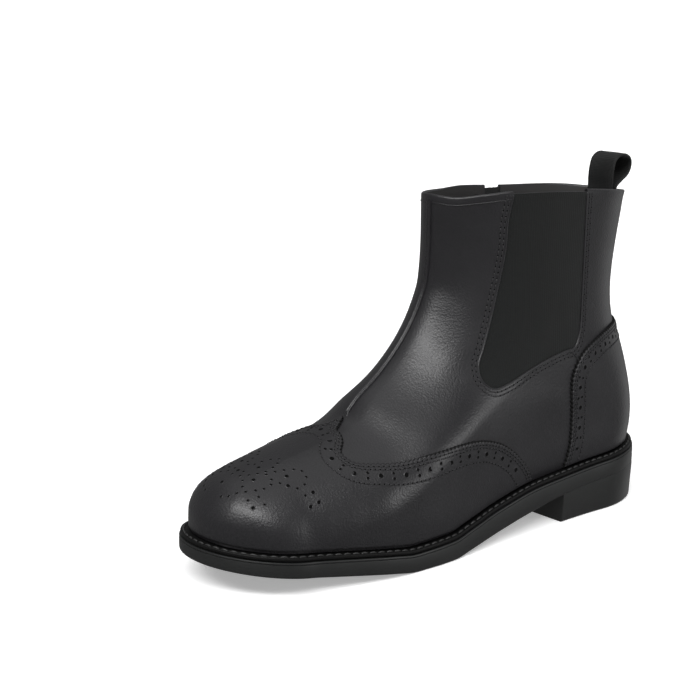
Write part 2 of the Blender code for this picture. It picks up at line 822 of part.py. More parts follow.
def new_collection(name):
    collection = bpy.data.collections.new(name)
    bpy.context.scene.collection.children.link(collection)
    return collection


for old in list(bpy.data.objects):
    bpy.data.objects.remove(old, do_unlink=True)

PARTS = new_collection("brogue boot")
CUTTERS = new_collection("cutters")

make_material("black leather", (0.020, 0.019, 0.022), 0.35)
make_material("elastic", (0.018, 0.018, 0.019), 0.85)
make_material("dark rubber", (0.025, 0.025, 0.026), 0.55)
make_material("welt", (0.022, 0.021, 0.022), 0.50)
make_material("lining", (0.045, 0.043, 0.042), 0.80)
make_material("zip tape", (0.015, 0.015, 0.016), 0.80)
make_material("zip metal", (0.60, 0.60, 0.61), 0.30, 1.0)
make_material("webbing", (0.016, 0.016, 0.017), 0.80)

outsole = make_outsole()
make_heel()
make_welt()
make_insole()
make_upper()
make_overlays()
make_gusset()
make_zip()
make_pull(make_slider())
make_seam("front_seam", front_point, 1, FRONT_SEAM_START, SEAM_TOP, FRONT_SEAM_WIDTH)
make_seam("back_stay", back_point, -1, BACK_STAY_START, SEAM_TOP, BACK_STAY_WIDTH)
make_loop()

# The origin goes under the middle of the sole
places = [vert.co for vert in outsole.data.vertices]
middle_along = (min(place.x for place in places) + max(place.x for place in places)) / 2
middle_aside = (min(place.y for place in places) + max(place.y for place in places)) / 2
boot = bpy.data.objects.new("boot", None)
PARTS.objects.link(boot)
boot.location = (-middle_along, -middle_aside, 0.0)
for thing in list(PARTS.objects) + list(CUTTERS.objects):
    if thing is not boot:
        thing.parent = boot
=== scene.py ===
"""Looks of a black brogue ankle boot for the left foot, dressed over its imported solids.

The boot's own coordinates run forward from the back of the sole along x, to the wearer's left along y and
up from the floor along z. Its upper is one function of a ring, 0 at the welt and 1 at the collar, and a
turn, 0 down the back and half a turn down the front, positive over the outer side, negative over the inner.
"""
import json
import math
from collections import namedtuple

import bmesh
import bpy
import numpy as np
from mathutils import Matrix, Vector


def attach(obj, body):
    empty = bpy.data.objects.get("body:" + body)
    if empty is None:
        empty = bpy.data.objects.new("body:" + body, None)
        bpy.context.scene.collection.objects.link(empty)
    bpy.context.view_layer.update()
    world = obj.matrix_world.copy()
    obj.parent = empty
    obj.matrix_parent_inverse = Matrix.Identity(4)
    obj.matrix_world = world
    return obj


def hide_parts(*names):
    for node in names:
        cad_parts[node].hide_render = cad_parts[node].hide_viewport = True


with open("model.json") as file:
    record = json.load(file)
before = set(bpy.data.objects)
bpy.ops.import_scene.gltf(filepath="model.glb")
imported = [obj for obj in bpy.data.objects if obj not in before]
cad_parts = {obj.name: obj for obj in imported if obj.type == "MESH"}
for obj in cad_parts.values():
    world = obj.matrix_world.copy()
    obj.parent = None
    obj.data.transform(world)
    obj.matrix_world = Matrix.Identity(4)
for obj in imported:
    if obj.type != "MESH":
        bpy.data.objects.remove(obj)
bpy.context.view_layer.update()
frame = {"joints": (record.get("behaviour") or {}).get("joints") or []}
BODY = "boot"


def rows_of(kind, *rows):
    """A table: rows of one kind."""
    return tuple(kind(*row) for row in rows)


# Driving sizes of the boot, in metres, as its solids have them
SOLE_LENGTH = 0.270
BALL_WIDTH = 0.091
COLLAR_HEIGHT = 0.166
HEEL_LIFT = 0.0195
TOE_SPRING = 0.014
SOLE_THICKNESS = 0.0114
WALL = 0.0020
OVERLAY = 0.0013
WELT_THICKNESS = 0.0022
WELT_SHOW = 0.0048
WELT_INSET = 0.0007
INSOLE_THICKNESS = 0.0030
GAP = 0.0003

# Rounding of the last, as the depth behind its edge at which it reaches full width
TOE_ROUND = 0.0385
HEEL_ROUND = 0.042
SHAFT_ROUND = 0.060
SWELL_RISE = 0.014
SHAFT_BLEND = (0.24, 0.60)

LATERAL = 1
MEDIAL = -1

# The sole from above: half widths from the heel's axis, and how far the upper swells beyond its foot
Plan = namedtuple("Plan", "along lateral medial swell_lateral swell_medial")
SOLE_PLAN = rows_of(
    Plan, (0.000, 0.365, 0.357, 0.016, 0.016), (0.167, 0.365, 0.357, 0.016, 0.022),
    (0.278, 0.383, 0.345, 0.016, 0.038), (0.370, 0.403, 0.308, 0.016, 0.060),
    (0.444, 0.422, 0.315, 0.016, 0.060), (0.526, 0.455, 0.385, 0.013, 0.033),
    (0.611, 0.480, 0.472, 0.011, 0.016), (0.696, 0.483, 0.515, 0.009, 0.009),
    (0.759, 0.463, 0.506, 0.007, 0.007), (0.815, 0.436, 0.474, 0.005, 0.005),
    (0.859, 0.414, 0.440, 0.004, 0.004), (1.000, 0.410, 0.437, 0.004, 0.004))

# The sole from the side: its underside as shares of heel lift and toe spring, and its thickness
Side = namedtuple("Side", "along heel_rise toe_rise thickness")
SOLE_SIDE = rows_of(
    Side, (0.000, 1.00, 0.00, 0.95), (0.274, 0.72, 0.00, 1.05), (0.370, 0.51, 0.00, 1.19),
    (0.444, 0.31, 0.00, 1.18), (0.519, 0.11, 0.00, 1.10), (0.563, 0.00, 0.00, 1.05),
    (0.650, 0.00, 0.00, 0.985), (0.704, 0.00, 0.15, 0.965), (0.796, 0.00, 0.41, 0.93),
    (0.878, 0.00, 0.63, 0.886), (1.000, 0.00, 1.00, 0.833))

# The upper's middle line in front, from the toe over the vamp and up the shin, ring by ring
Profile = namedtuple("Profile", "ring along height")
FRONT = rows_of(
    Profile, (0.00, 0.9785, 0.146), (0.05, 0.9770, 0.195), (0.10, 0.9644, 0.245), (0.15, 0.9352, 0.287),
    (0.21, 0.8785, 0.319), (0.29, 0.7989, 0.345), (0.38, 0.7207, 0.373), (0.43, 0.6889, 0.393),
    (0.50, 0.6511, 0.447), (0.57, 0.6063, 0.501), (0.63, 0.5726, 0.552), (0.70, 0.5385, 0.617),
    (0.76, 0.5133, 0.686), (0.82, 0.4974, 0.756), (0.91, 0.4915, 0.872), (1.00, 0.4904, 0.998))

# The upper's middle line at the back, from the heel seat up to the collar, on the same rings
BACK = rows_of(
    Profile, (0.00, 0.0193, 0.184), (0.08, 0.0144, 0.229), (0.17, 0.0126, 0.277), (0.29, 0.0148, 0.337),
    (0.40, 0.0219, 0.404), (0.49, 0.0319, 0.470), (0.57, 0.0437, 0.530), (0.645, 0.0541, 0.584),
    (0.71, 0.0600, 0.639), (0.76, 0.0611, 0.681), (0.82, 0.0578, 0.747), (0.885, 0.0507, 0.819),
    (0.947, 0.0419, 0.892), (1.00, 0.0352, 0.954))

# How far the collar's edge lies above a straight line from its back to its front
Collar = namedtuple("Collar", "share lateral medial")
COLLAR = rows_of(
    Collar, (0.000, 0.0000, 0.0000), (0.126, 0.0110, 0.0024), (0.395, 0.0240, -0.0020),
    (0.614, 0.0270, 0.0000), (0.777, 0.0220, -0.0060), (0.891, 0.0085, -0.0055), (0.972, -0.0030, -0.0035),
    (1.000, 0.0000, 0.0000))

# Half widths of the shaft, level by level
Shaft = namedtuple("Shaft", "height half")
SHAFT = rows_of(
    Shaft, (0.00, 0.362), (0.36, 0.360), (0.51, 0.347), (0.64, 0.340), (0.78, 0.344), (1.00, 0.354))

# The middle of the boot from above
Centre = namedtuple("Centre", "along aside")
CENTRE = rows_of(Centre, (0.0, 0.000), (0.5, -0.018), (1.0, -0.013))

# Cut lines in the side view, as shares of sole length and collar height
Corner = namedtuple("Corner", "along height")
WING_EDGE = rows_of(
    Corner, (0.687, 0.420), (0.725, 0.358), (0.747, 0.331), (0.741, 0.314), (0.696, 0.304), (0.661, 0.303),
    (0.606, 0.314), (0.540, 0.323), (0.489, 0.318), (0.436, 0.292), (0.396, 0.249), (0.367, 0.199),
    (0.354, 0.169))
WING_FOOT = 0.346
COUNTER_EDGE = rows_of(
    Corner, (0.045, 0.563), (0.115, 0.558), (0.159, 0.546), (0.212, 0.516), (0.233, 0.487), (0.246, 0.446),
    (0.248, 0.400), (0.245, 0.340), (0.246, 0.246), (0.252, 0.200))
COUNTER_FOOT = 0.262
GUSSET_EDGE = rows_of(
    Corner, (0.393, 1.080), (0.391, 1.011), (0.397, 0.934), (0.400, 0.848), (0.412, 0.747), (0.429, 0.648),
    (0.448, 0.570), (0.463, 0.520), (0.462, 0.482), (0.443, 0.456), (0.407, 0.463), (0.357, 0.489),
    (0.306, 0.512), (0.262, 0.526), (0.242, 0.530), (0.231, 0.552), (0.224, 0.590), (0.221, 0.669),
    (0.221, 0.790), (0.223, 0.911), (0.225, 1.080))

# The zip's middle line on the inner side, from above the collar down to its stop
ZIP_LINE = rows_of(
    Corner, (0.242, 1.060), (0.242, 0.990), (0.244, 0.910), (0.252, 0.799), (0.269, 0.657), (0.291, 0.530),
    (0.312, 0.437), (0.328, 0.357))
ZIP_OPENING = 0.0104
SLIDER_LENGTH = 0.0125
SLIDER_WIDTH = 0.0088
SLIDER_THICKNESS = 0.0014
SLIDER_LIFT = 0.0014
HINGE_DROP = 0.0025
PIN_RADIUS = 0.0006
BARREL_RADIUS = 0.0014
BARREL_LENGTH = 0.0036
LUG_THICKNESS = 0.0012
LUG_REACH = 0.0010
PULL_LENGTH = 0.0200
PULL_WIDTH = 0.0078
PULL_NECK = 0.0030
PULL_THICKNESS = 0.0012
PULL_WIRE = 0.0006
SLIDER_WAIST = 0.22

# Fabric fillings lie a little back from the leather's face
RECESS = 0.0004
FILLING = 0.0010

# Raised seams and the loop
SEAM_HEIGHT = 0.0008
FRONT_SEAM_WIDTH = 0.0026
BACK_STAY_WIDTH = 0.0060
LOOP_WIDTH = 0.0170
LOOP_THICKNESS = 0.0016
LOOP_CLEARANCE = 0.0009
LOOP_TOP_BEND = 0.5
SEAM_TOP = 0.990

# The loop's path from its outer end over the top to its inner end, from the top of the collar's inner face
LOOP_PATH = rows_of(
    Corner, (0.002, -0.060), (0.001, 0.000), (-0.002, 0.018), (-0.015, 0.036), (-0.031, 0.055),
    (-0.037, 0.080), (-0.034, 0.100), (-0.022, 0.112), (-0.007, 0.112), (0.004, 0.101), (0.009, 0.080),
    (0.0105, 0.050), (0.0095, 0.018), (0.0090, -0.010), (0.0090, -0.060))

# The heel block and the soft edges of rubber
BREAST = 0.272
HEEL_TAPER = 0.0010
EDGE_SOFTENING = 0.0012

# Fineness of the meshes
CUTTER_REACH = 0.070
SIDE_START = 0.004


# How the surface is worked out: where the ridges start, the step of its slopes, and what counts as one point
TURN = 2 * math.pi
RIDGE_SWING = 0.20
NUDGE = 0.002
WELD = 0.000002
MM = 0.001
PROFILE_STEPS = 120
PROFILE_DROP = 0.060
STRAIGHT_SUM = 0.9143
SOFT_DEPTH = (0.004, 0.013)
UPPER_TURNS = 360
UPPER_RINGS = 120
LINING_RINGS = 40
RIM_STEPS = 5
OVERLAY_ROWS = 46
FOOT_RING = 0.012

# The overlays: their peaks, pinked edges and rows of stitches and holes, each as an offset from the edge
WING_PEAK = 0.436
COUNTER_PEAK = 0.622
FRONT_TURN = 0.985 * math.pi
OVERLAY_EDGE = ((0.0, -0.2), (0.0, 0.45), (0.00012, 0.75), (0.0004, 0.95), (0.0009, 1.0), (0.0018, 1.0))
PINK_DEPTH = 0.0009
PINK_PITCH = 0.0023
EDGE_ROWS = (0.0012, 0.0027)
STITCH_PITCH = 0.0024
SHORT_STITCH = (0.0017, 0.0007, 0.00045)
WING_BAND = 0.0095
COUNTER_BAND = 0.0088
BAND_MIDDLE = 0.0056
WING_HOLE_PITCH = 0.0126
COUNTER_HOLE_PITCH = 0.0105
BAND_HOLES = (0.00115, 0.00075)
MEDALLION_HOLES = (0.00090, 0.00062)
SMALL_APART = 0.0013
NEEDLE_HOLE = 0.00042
DISH = ((1.35, -0.02), (1.22, 0.06), (1.08, 0.09), (0.95, 0.06), (0.90, 0.015), (0.0, 0.012))

# The gusset and the zip
BELOW_COLLAR = 0.9985
TUCK = 0.0012
GUSSET_COLUMNS = 300
GUSSET_ROWS = 90
RIB_DEPTH = 0.00003
RIB_PITCH = 0.0013
HEM_DROP = 0.0004
HEM_DEPTH = 0.0024
HEM_RISE = 0.00025
BEAD = 0.0005
BEAD_SINK = 0.0002
GUSSET_ROWS_OUT = (0.0015, 0.0034)
GUSSET_PITCH = 0.0027
LONG_STITCH = (0.0021, 0.0007, 0.0004)
ZIP_ROWS_OUT = (0.0014, 0.0030)
TOOTH_PITCH = 0.0011
TOOTH_ASIDE = 0.0007
WELT_PITCH = 0.0045
WELT_STITCH = (0.0037, 0.0011, 0.0009)

# The holes on the toe, big and small, in millimetres along the boot and out from its middle
Hole = namedtuple("Hole", "along aside")
MEDALLION_BIG = rows_of(
    Hole, (253.0, 0.0), (244.4, 0.0), (237.8, 6.4), (244.6, 11.7), (231.0, 17.8), (251.5, 20.9),
    (227.3, 30.3), (223.1, 30.8), (233.1, 21.5), (223.9, 27.7))
MEDALLION_SMALL = rows_of(
    Hole, (227.4, 7.6), (230.0, 9.9), (230.1, 4.9), (233.9, 3.4), (233.4, 10.9), (237.5, 11.1),
    (234.2, 13.5), (230.2, 14.7), (226.1, 16.6), (223.4, 18.9), (223.3, 22.0), (225.8, 24.0),
    (229.8, 23.9), (227.8, 27.1), (235.8, 19.2), (238.1, 16.0), (239.7, 17.9), (238.4, 12.7), (241.0, 9.9),
    (244.0, 7.7), (243.8, 3.3), (246.7, 4.7), (248.0, 8.4), (250.1, 11.4), (247.0, 16.5), (243.5, 17.9),
    (250.6, 14.3), (253.4, 11.9), (256.0, 9.5), (257.6, 6.1), (251.8, 17.7), (247.5, 19.4), (246.8, 22.8),
    (247.6, 0.0), (237.2, 2.7), (238.9, 0.0))

# Thin folded edges drawn on the leather: below the collar, and from the gusset's corner to the counter
COLLAR_BEAD = 0.00030
CORNER_BEAD = 0.00055
COLLAR_FOLD = 0.0021
FOLD_END = 4.73
CORNER_FOLD = rows_of(Corner, (0.254, 0.5250), (0.2425, 0.5085), (0.2310, 0.4890))

# The main creases, each a soft ridge or hollow across the side view; lean is in degrees from level
Fold = namedtuple("Fold", "along height lean length width depth")
FOLDS = (
    Fold(0.60, 0.42, -38, 0.11, 0.020, -0.0004),
    Fold(0.56, 0.47, -38, 0.10, 0.016, 0.0003),
    Fold(0.30, 0.44, 10, 0.12, 0.030, -0.0004),
)

# Light and camera. Each glow of the room has a facing, an upright axis and half widths across and up
ROOM_LIGHT = 0.20
Glow = namedtuple("Glow", "azimuth elevation wide tall soft light")
GLOWS = (
    Glow(35, 48, 0.48, 0.075, 0.08, 12.5),
    Glow(45, 88, 0.45, 0.45, 0.20, 0.65),
    Glow(189, 0, 0.10, 0.50, 0.12, 0.45),
)
LAMP_PLACE = (-0.65, 1.01, 0.20)
LAMP_TARGET = (0.0, 0.0, 0.07)
LAMP_SIZE = (0.28, 0.40)
LAMP_ENERGY = 2.8
FLOOR_SIZE = 30.0
FLOOR_GLOW = 0.35
PICTURE = 700
SENSOR = 36.0
CAMERA_FOCUS = 1722.48
CAMERA_PLACE = (0.52978, 0.61415, 0.27925)
CAMERA_YAW = -128.25
CAMERA_DIP = 13.08
SHIFT = np.array([-0.135, 0.0015, 0.0])


def monotone(table, column):
    """Smooth curve through one column of a table, read along its first column, without overshoot."""
    keys = np.array([row[0] for row in table])
    values = np.array([getattr(row, column) for row in table])
    spans = np.diff(keys)
    rates = np.diff(values) / spans
    slopes = np.empty(len(keys))
    slopes[0] = rates[0]
    slopes[-1] = rates[-1]
    product = rates[:-1] * rates[1:]
    total = rates[:-1] + rates[1:]
    slopes[1:-1] = np.where(product > 0, 2 * product / np.where(product > 0, total, 1), 0)

    def curve(key):
        key = np.clip(key, keys[0], keys[-1])
        i = np.clip(np.searchsorted(keys, key, side="right") - 1, 0, len(spans) - 1)
        t = (key - keys[i]) / spans[i]
        start = values[i] * (1 + 2 * t) + spans[i] * slopes[i] * t
        end = values[i + 1] * (3 - 2 * t) - spans[i] * slopes[i + 1] * (1 - t)
        return start * (1 - t) ** 2 + end * t ** 2

    return curve


def curves(table):
    """A smooth curve through each column after the first."""
    return [monotone(table, column) for column in table[0]._fields[1:]]


SOLE_LATERAL, SOLE_MEDIAL, SWELL_LATERAL, SWELL_MEDIAL = curves(SOLE_PLAN)
HEEL_RISE, TOE_RISE, THICKNESS = curves(SOLE_SIDE)
FRONT_ALONG, FRONT_HEIGHT = curves(FRONT)
BACK_ALONG, BACK_HEIGHT = curves(BACK)
COLLAR_LATERAL, COLLAR_MEDIAL = curves(COLLAR)
SHAFT_HALF = monotone(SHAFT, "half")
CENTRE_ASIDE = monotone(CENTRE, "aside")


def blend(start, end, share):
    return start + (end - start) * share


def smooth_step(value, low, high):
    share = np.clip((value - low) / (high - low), 0, 1)
    return share * share * (3 - 2 * share)


def softer_step(value, low, high):
    """Like smooth_step, without a jump in curvature at its ends."""
    share = np.clip((value - low) / (high - low), 0, 1)
    return share ** 3 * (10 + share * (6 * share - 15))


def rounding(share):
    """Quarter circle: 0 at the edge and 1 from one round's depth inwards."""
    return np.sqrt(1 - (1 - np.clip(share, 0, 1)) ** 2)


def unit(vectors):
    return vectors / np.maximum(np.linalg.norm(vectors, axis=-1, keepdims=True), 1e-12)


def centre_line(along):
    return BALL_WIDTH * CENTRE_ASIDE(along / SOLE_LENGTH)


def ground(along):
    """Height of the outsole's underside: heel lift, arch, flat tread, toe spring."""
    share = along / SOLE_LENGTH
    return HEEL_LIFT * HEEL_RISE(share) + TOE_SPRING * TOE_RISE(share)


def welt_top(along):
    return ground(along) + SOLE_THICKNESS * THICKNESS(along / SOLE_LENGTH)


def sole_width(along, side):
    """Half width of the sole from the centre line, before its toe and heel are rounded."""
    share = along / SOLE_LENGTH
    edge = np.where(side > 0, SOLE_LATERAL(share), SOLE_MEDIAL(share))
    return BALL_WIDTH * edge - side * centre_line(along)


def profile_line(along, height):
    rings = np.linspace(0, 1, PROFILE_STEPS + 1)
    return np.stack((SOLE_LENGTH * along(rings), COLLAR_HEIGHT * height(rings)), -1)


FRONT_LINE = profile_line(FRONT_ALONG, FRONT_HEIGHT)
BACK_LINE = profile_line(BACK_ALONG, BACK_HEIGHT)


def nearest_on(line, profile, along, height):
    """Distance from a profile, in the side view: first from its coarse line, then from the curve itself."""
    nearest = np.full(np.shape(along), 1.0)
    spot = np.zeros(np.shape(along))
    for i, (start, end) in enumerate(zip(line, line[1:])):
        run = end - start
        ahead = along - start[0]
        above = height - start[1]
        share = np.clip((ahead * run[0] + above * run[1]) / (run @ run), 0, 1)
        gap = (ahead - share * run[0]) ** 2 + (above - share * run[1]) ** 2
        closer = gap < nearest
        nearest = np.where(closer, gap, nearest)
        spot = np.where(closer, (i + share) / PROFILE_STEPS, spot)

    def gap_at(ring):
        ring = np.clip(ring, 0, 1)
        ahead = SOLE_LENGTH * profile[0](ring) - along
        above = COLLAR_HEIGHT * profile[1](ring) - height
        return ahead ** 2 + above ** 2

    reach = 0.5 / PROFILE_STEPS
    for _ in range(3):
        before, here, after = gap_at(spot - reach), gap_at(spot), gap_at(spot + reach)
        bend = np.maximum(before - 2 * here + after, 1e-15)
        spot = np.clip(spot + np.clip(reach * (before - after) / (2 * bend), -reach, reach), 0, 1)
        reach /= 6
    return np.sqrt(gap_at(spot))


def depth_from(line, profile, along, height):
    """Depth behind a profile: close to it the plain distance, deeper a mean over the whole profile, which
    has no crease where two stretches of the profile are equally near."""
    near = nearest_on(line, profile, along, height)
    below = line[0] - np.stack((np.zeros(20), np.linspace(PROFILE_DROP, 0, 20, endpoint=False)), -1)
    whole = np.concatenate((below, line))
    total = np.zeros(np.shape(along))
    for start, end in zip(whole, whole[1:]):
        middle = (start + end) / 2
        gap = (along - middle[0]) ** 2 + (height - middle[1]) ** 2
        total += np.linalg.norm(end - start) / np.maximum(gap, 1e-6) ** 4.5
    deep = (total / STRAIGHT_SUM) ** -0.125
    return blend(near, deep, smooth_step(near, *SOFT_DEPTH))


def upper_width(along, height, side):
    """Half width of the upper at places of its side view, measured from the centre line."""
    share = along / SOLE_LENGTH
    foot = sole_width(along, side) - WELT_SHOW
    climb = np.clip((height - welt_top(along)) / SWELL_RISE, 0, 1)
    swell = np.where(side > 0, SWELL_LATERAL(share), SWELL_MEDIAL(share))
    foot = foot + BALL_WIDTH * swell * (1 - (1 - climb) ** 2)
    level = height / COLLAR_HEIGHT
    shaft = BALL_WIDTH * SHAFT_HALF(level) - side * centre_line(along)
    mix = softer_step(level, *SHAFT_BLEND)
    wide = blend(foot, shaft, mix)
    for line, profile, depth in ((FRONT_LINE, (FRONT_ALONG, FRONT_HEIGHT), TOE_ROUND),
                                 (BACK_LINE, (BACK_ALONG, BACK_HEIGHT), HEEL_ROUND)):
        full = blend(depth - WELT_SHOW, SHAFT_ROUND, mix)
        wide = wide * rounding(depth_from(line, profile, along, height) / full)
    return wide


def side_of(turn):
    return np.where(np.sin(turn) >= 0, LATERAL, MEDIAL)


def side_place(ring, turn):
    """Place in the side view on a ring and a turn."""
    share = (1 - np.cos(turn)) / 2
    along = SOLE_LENGTH * blend(BACK_ALONG(ring), FRONT_ALONG(ring), share)
    height = COLLAR_HEIGHT * blend(BACK_HEIGHT(ring), FRONT_HEIGHT(ring), share)
    foot_along = SOLE_LENGTH * blend(BACK_ALONG(0), FRONT_ALONG(0), share)
    foot_height = COLLAR_HEIGHT * blend(BACK_HEIGHT(0), FRONT_HEIGHT(0), share)
    feather = welt_top(foot_along) + GAP - foot_height
    lift = np.where(side_of(turn) > 0, COLLAR_LATERAL(share), COLLAR_MEDIAL(share))
    return along, height + feather * (1 - ring) ** 2 + COLLAR_HEIGHT * lift * ring ** 4


def skin(ring, turn):
    """Points of the upper's outer face. Close to its two ridges the width runs straight to nothing."""
    ring, turn = np.broadcast_arrays(np.asarray(ring, float), np.asarray(turn, float))
    along, height = side_place(ring, turn)
    side = side_of(turn)
    swing = np.abs(np.sin(turn))
    near = np.maximum(swing, RIDGE_SWING)
    steady = np.arcsin(np.minimum(near, 1)) * side
    steady = np.where(np.cos(turn) < 0, side * math.pi - steady, steady)
    wide = upper_width(*side_place(ring, steady), side) * swing / near
    return np.stack((along, centre_line(along) + side * wide, height), -1)


def slopes_at(ring, turn):
    """How the skin runs with the ring and with the turn."""
    middle = np.clip(ring, NUDGE, 1 - NUDGE)
    up = (skin(middle + NUDGE, turn) - skin(middle - NUDGE, turn)) / (2 * NUDGE)
    onward = (skin(ring, turn + NUDGE) - skin(ring, turn - NUDGE)) / (2 * NUDGE)
    return up, onward


def normals_at(ring, turn):
    up, onward = slopes_at(ring, turn)
    return unit(np.cross(up, onward))


def folds(ring, turn):
    """The main creases: how far the worn leather stands off its last, in metres."""
    along, height = side_place(ring, turn)
    total = np.zeros(np.shape(along))
    for fold in FOLDS:
        ahead = along / SOLE_LENGTH - fold.along
        above = (height / COLLAR_HEIGHT - fold.height) * COLLAR_HEIGHT / SOLE_LENGTH
        lean = math.radians(fold.lean)
        onward = ahead * math.cos(lean) + above * math.sin(lean)
        across = above * math.cos(lean) - ahead * math.sin(lean)
        total += fold.depth * np.exp(-(onward / fold.length) ** 2 - (across / fold.width) ** 2)
    return total


def cover(ring, turn, proud=0.0):
    """Points that stand proud of the upper's outer face, in the frame's coordinates."""
    ring, turn = np.broadcast_arrays(np.asarray(ring, float), np.asarray(turn, float))
    shape = ring.shape
    ring = ring.ravel()
    turn = turn.ravel()
    off = np.broadcast_to(proud, shape).ravel() + folds(ring, turn)
    points = skin(ring, turn) + normals_at(ring, turn) * off[:, None] + SHIFT
    return points.reshape(shape + (3,))


def ring_turn(along, height, side):
    """The ring and the turn of places in the side view."""
    low = np.zeros(np.shape(along))
    high = np.ones(np.shape(along))
    for _ in range(40):
        ring = (low + high) / 2
        back = SOLE_LENGTH * BACK_ALONG(ring)
        front = SOLE_LENGTH * FRONT_ALONG(ring)
        share = np.clip((along - back) / (front - back), 0, 1)
        turn = side * np.arccos(1 - 2 * share)
        above = side_place(ring, turn)[1] > height
        high = np.where(above, ring, high)
        low = np.where(above, low, ring)
    return ring, turn


def smooth_line(points, count):
    """A smooth curve through points, at even steps."""
    points = np.asarray(points, float)
    gaps = np.linalg.norm(np.diff(points, axis=0), axis=1) ** 0.5
    knots = np.concatenate(([0], np.cumsum(gaps)))
    slopes = np.gradient(points, knots, axis=0)
    t = np.linspace(0, knots[-1], count * 8)
    i = np.clip(np.searchsorted(knots, t, side="right") - 1, 0, len(knots) - 2)
    span = (knots[i + 1] - knots[i])[:, None]
    u = ((t - knots[i])[:, None]) / span
    start = points[i] * (1 + 2 * u) + span * slopes[i] * u
    end = points[i + 1] * (3 - 2 * u) - span * slopes[i + 1] * (1 - u)
    return even(start * (1 - u) ** 2 + end * u ** 2, count)


def even(points, count):
    """The same curve at even steps."""
    gaps = np.linalg.norm(np.diff(points, axis=0), axis=1)
    run = np.concatenate(([0], np.cumsum(gaps)))
    wanted = np.linspace(0, run[-1], count)
    return np.stack([np.interp(wanted, run, points[:, k]) for k in range(points.shape[1])], -1)


def placed(corners):
    """Corners of the side view, in metres."""
    return [(SOLE_LENGTH * corner.along, COLLAR_HEIGHT * corner.height) for corner in corners]


class Line:
    """A line drawn on the upper, as rings and turns, with its length along the skin."""

    def __init__(self, ring, turn):
        self.ring = np.asarray(ring, float)
        self.turn = np.asarray(turn, float)
        gaps = np.linalg.norm(np.diff(skin(self.ring, self.turn), axis=0), axis=1)
        self.run = np.concatenate(([0], np.cumsum(gaps)))
        self.length = self.run[-1]

    def at(self, places):
        return np.interp(places, self.run, self.ring), np.interp(places, self.run, self.turn)

    def part(self, start, end):
        """The stretch between two lengths from the start."""
        return Line(*self.at(np.linspace(start, end, len(self.ring))))

    def spread(self, count):
        return Line(*self.at(np.linspace(0, self.length, count)))

    def frames(self, proud=0.0):
        """Points, directions, sideways directions and normals along the line."""
        points = cover(self.ring, self.turn, proud)
        along = unit(np.gradient(points, axis=0))
        normals = normals_at(self.ring, self.turn)
        aside = unit(np.cross(along, normals))
        return points, along, aside, normals

    def shifted(self, distance, steps=None):
        """The line moved sideways over the skin, to the side that lies to the right of its direction."""
        distance = np.broadcast_to(distance, self.ring.shape)
        steps = steps or max(1, int(np.ceil(np.abs(distance).max() / 0.0015)))
        ring, turn = self.ring.copy(), self.turn.copy()
        for _ in range(steps):
            points = skin(ring, turn)
            along = unit(np.gradient(points, axis=0))
            up, onward = slopes_at(ring, turn)
            aside = unit(np.cross(along, unit(np.cross(up, onward)))) * (distance / steps)[:, None]
            e = (up * up).sum(-1)
            f = (up * onward).sum(-1)
            g = (onward * onward).sum(-1)
            a = (up * aside).sum(-1)
            b = (onward * aside).sum(-1)
            size = np.maximum(e * g - f * f, 1e-12)
            ring = np.clip(ring + (a * g - b * f) / size, 0, 1)
            turn = turn + (b * e - a * f) / size
        return Line(ring, turn)


def side_line(corners, side, count):
    """A line on one side of the upper through corners of the side view."""
    curve = smooth_line(placed(corners), count)
    return Line(*ring_turn(curve[:, 0], curve[:, 1], side))


def add_mesh(name, points, faces, materials, indices=None, flat=False):
    mesh = bpy.data.meshes.new(name)
    mesh.from_pydata(np.asarray(points).reshape(-1, 3).tolist(), [], faces)
    for material in materials:
        mesh.materials.append(MATERIALS[material])
    if indices is not None:
        mesh.polygons.foreach_set("material_index", np.asarray(indices, np.int32))
    mesh.polygons.foreach_set("use_smooth", np.full(len(mesh.polygons), not flat))
    mesh.update()
    thing = bpy.data.objects.new(name, mesh)
    bpy.context.scene.collection.objects.link(thing)
    return thing


def grid_faces(rows, columns, loop_rows=False, loop_columns=False):
    """Quads over a grid of points, closed round where asked."""
    faces = []
    for i in range(rows if loop_rows else rows - 1):
        here = i * columns
        after = (i + 1) % rows * columns
        for j in range(columns if loop_columns else columns - 1):
            beside = (j + 1) % columns
            faces.append((here + j, here + beside, after + beside, after + j))
    return faces


def orient(thing, weld=0.0):
    """Turn a mesh's faces outwards, welded first where asked."""
    bm = bmesh.new()
    bm.from_mesh(thing.data)
    if weld:
        bmesh.ops.remove_doubles(bm, verts=bm.verts, dist=weld)
        bmesh.ops.dissolve_degenerate(bm, edges=bm.edges, dist=weld / 4)
    bmesh.ops.recalc_face_normals(bm, faces=bm.faces)
    bm.to_mesh(thing.data)
    bm.free()


def finish(thing, replaced=(), body=BODY, angle=None):
    """Weld and orient a piece's mesh, keep its sharp edges and hang it on its body."""
    orient(thing, WELD)
    if angle:
        thing.data.set_sharp_from_angle(angle=math.radians(angle))
    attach(thing, body)
    if replaced:
        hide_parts(*replaced)
    return thing


def scattered(name, template, frames, materials, indices=None):
    """Many copies of one small form, each in its own frame, as a single mesh."""
    shape, faces = template
    points, along, aside, normals = frames
    shape = np.asarray(shape, float)
    placed = (points[:, None] + shape[None, :, 0, None] * along[:, None]
              + shape[None, :, 1, None] * aside[:, None] + shape[None, :, 2, None] * normals[:, None])
    count = len(shape)
    copies = []
    for i in range(len(points)):
        copies += [tuple(corner + i * count for corner in face) for face in faces]
    if indices is not None:
        indices = np.tile(indices, len(points))
    return add_mesh(name, placed, copies, materials, indices)


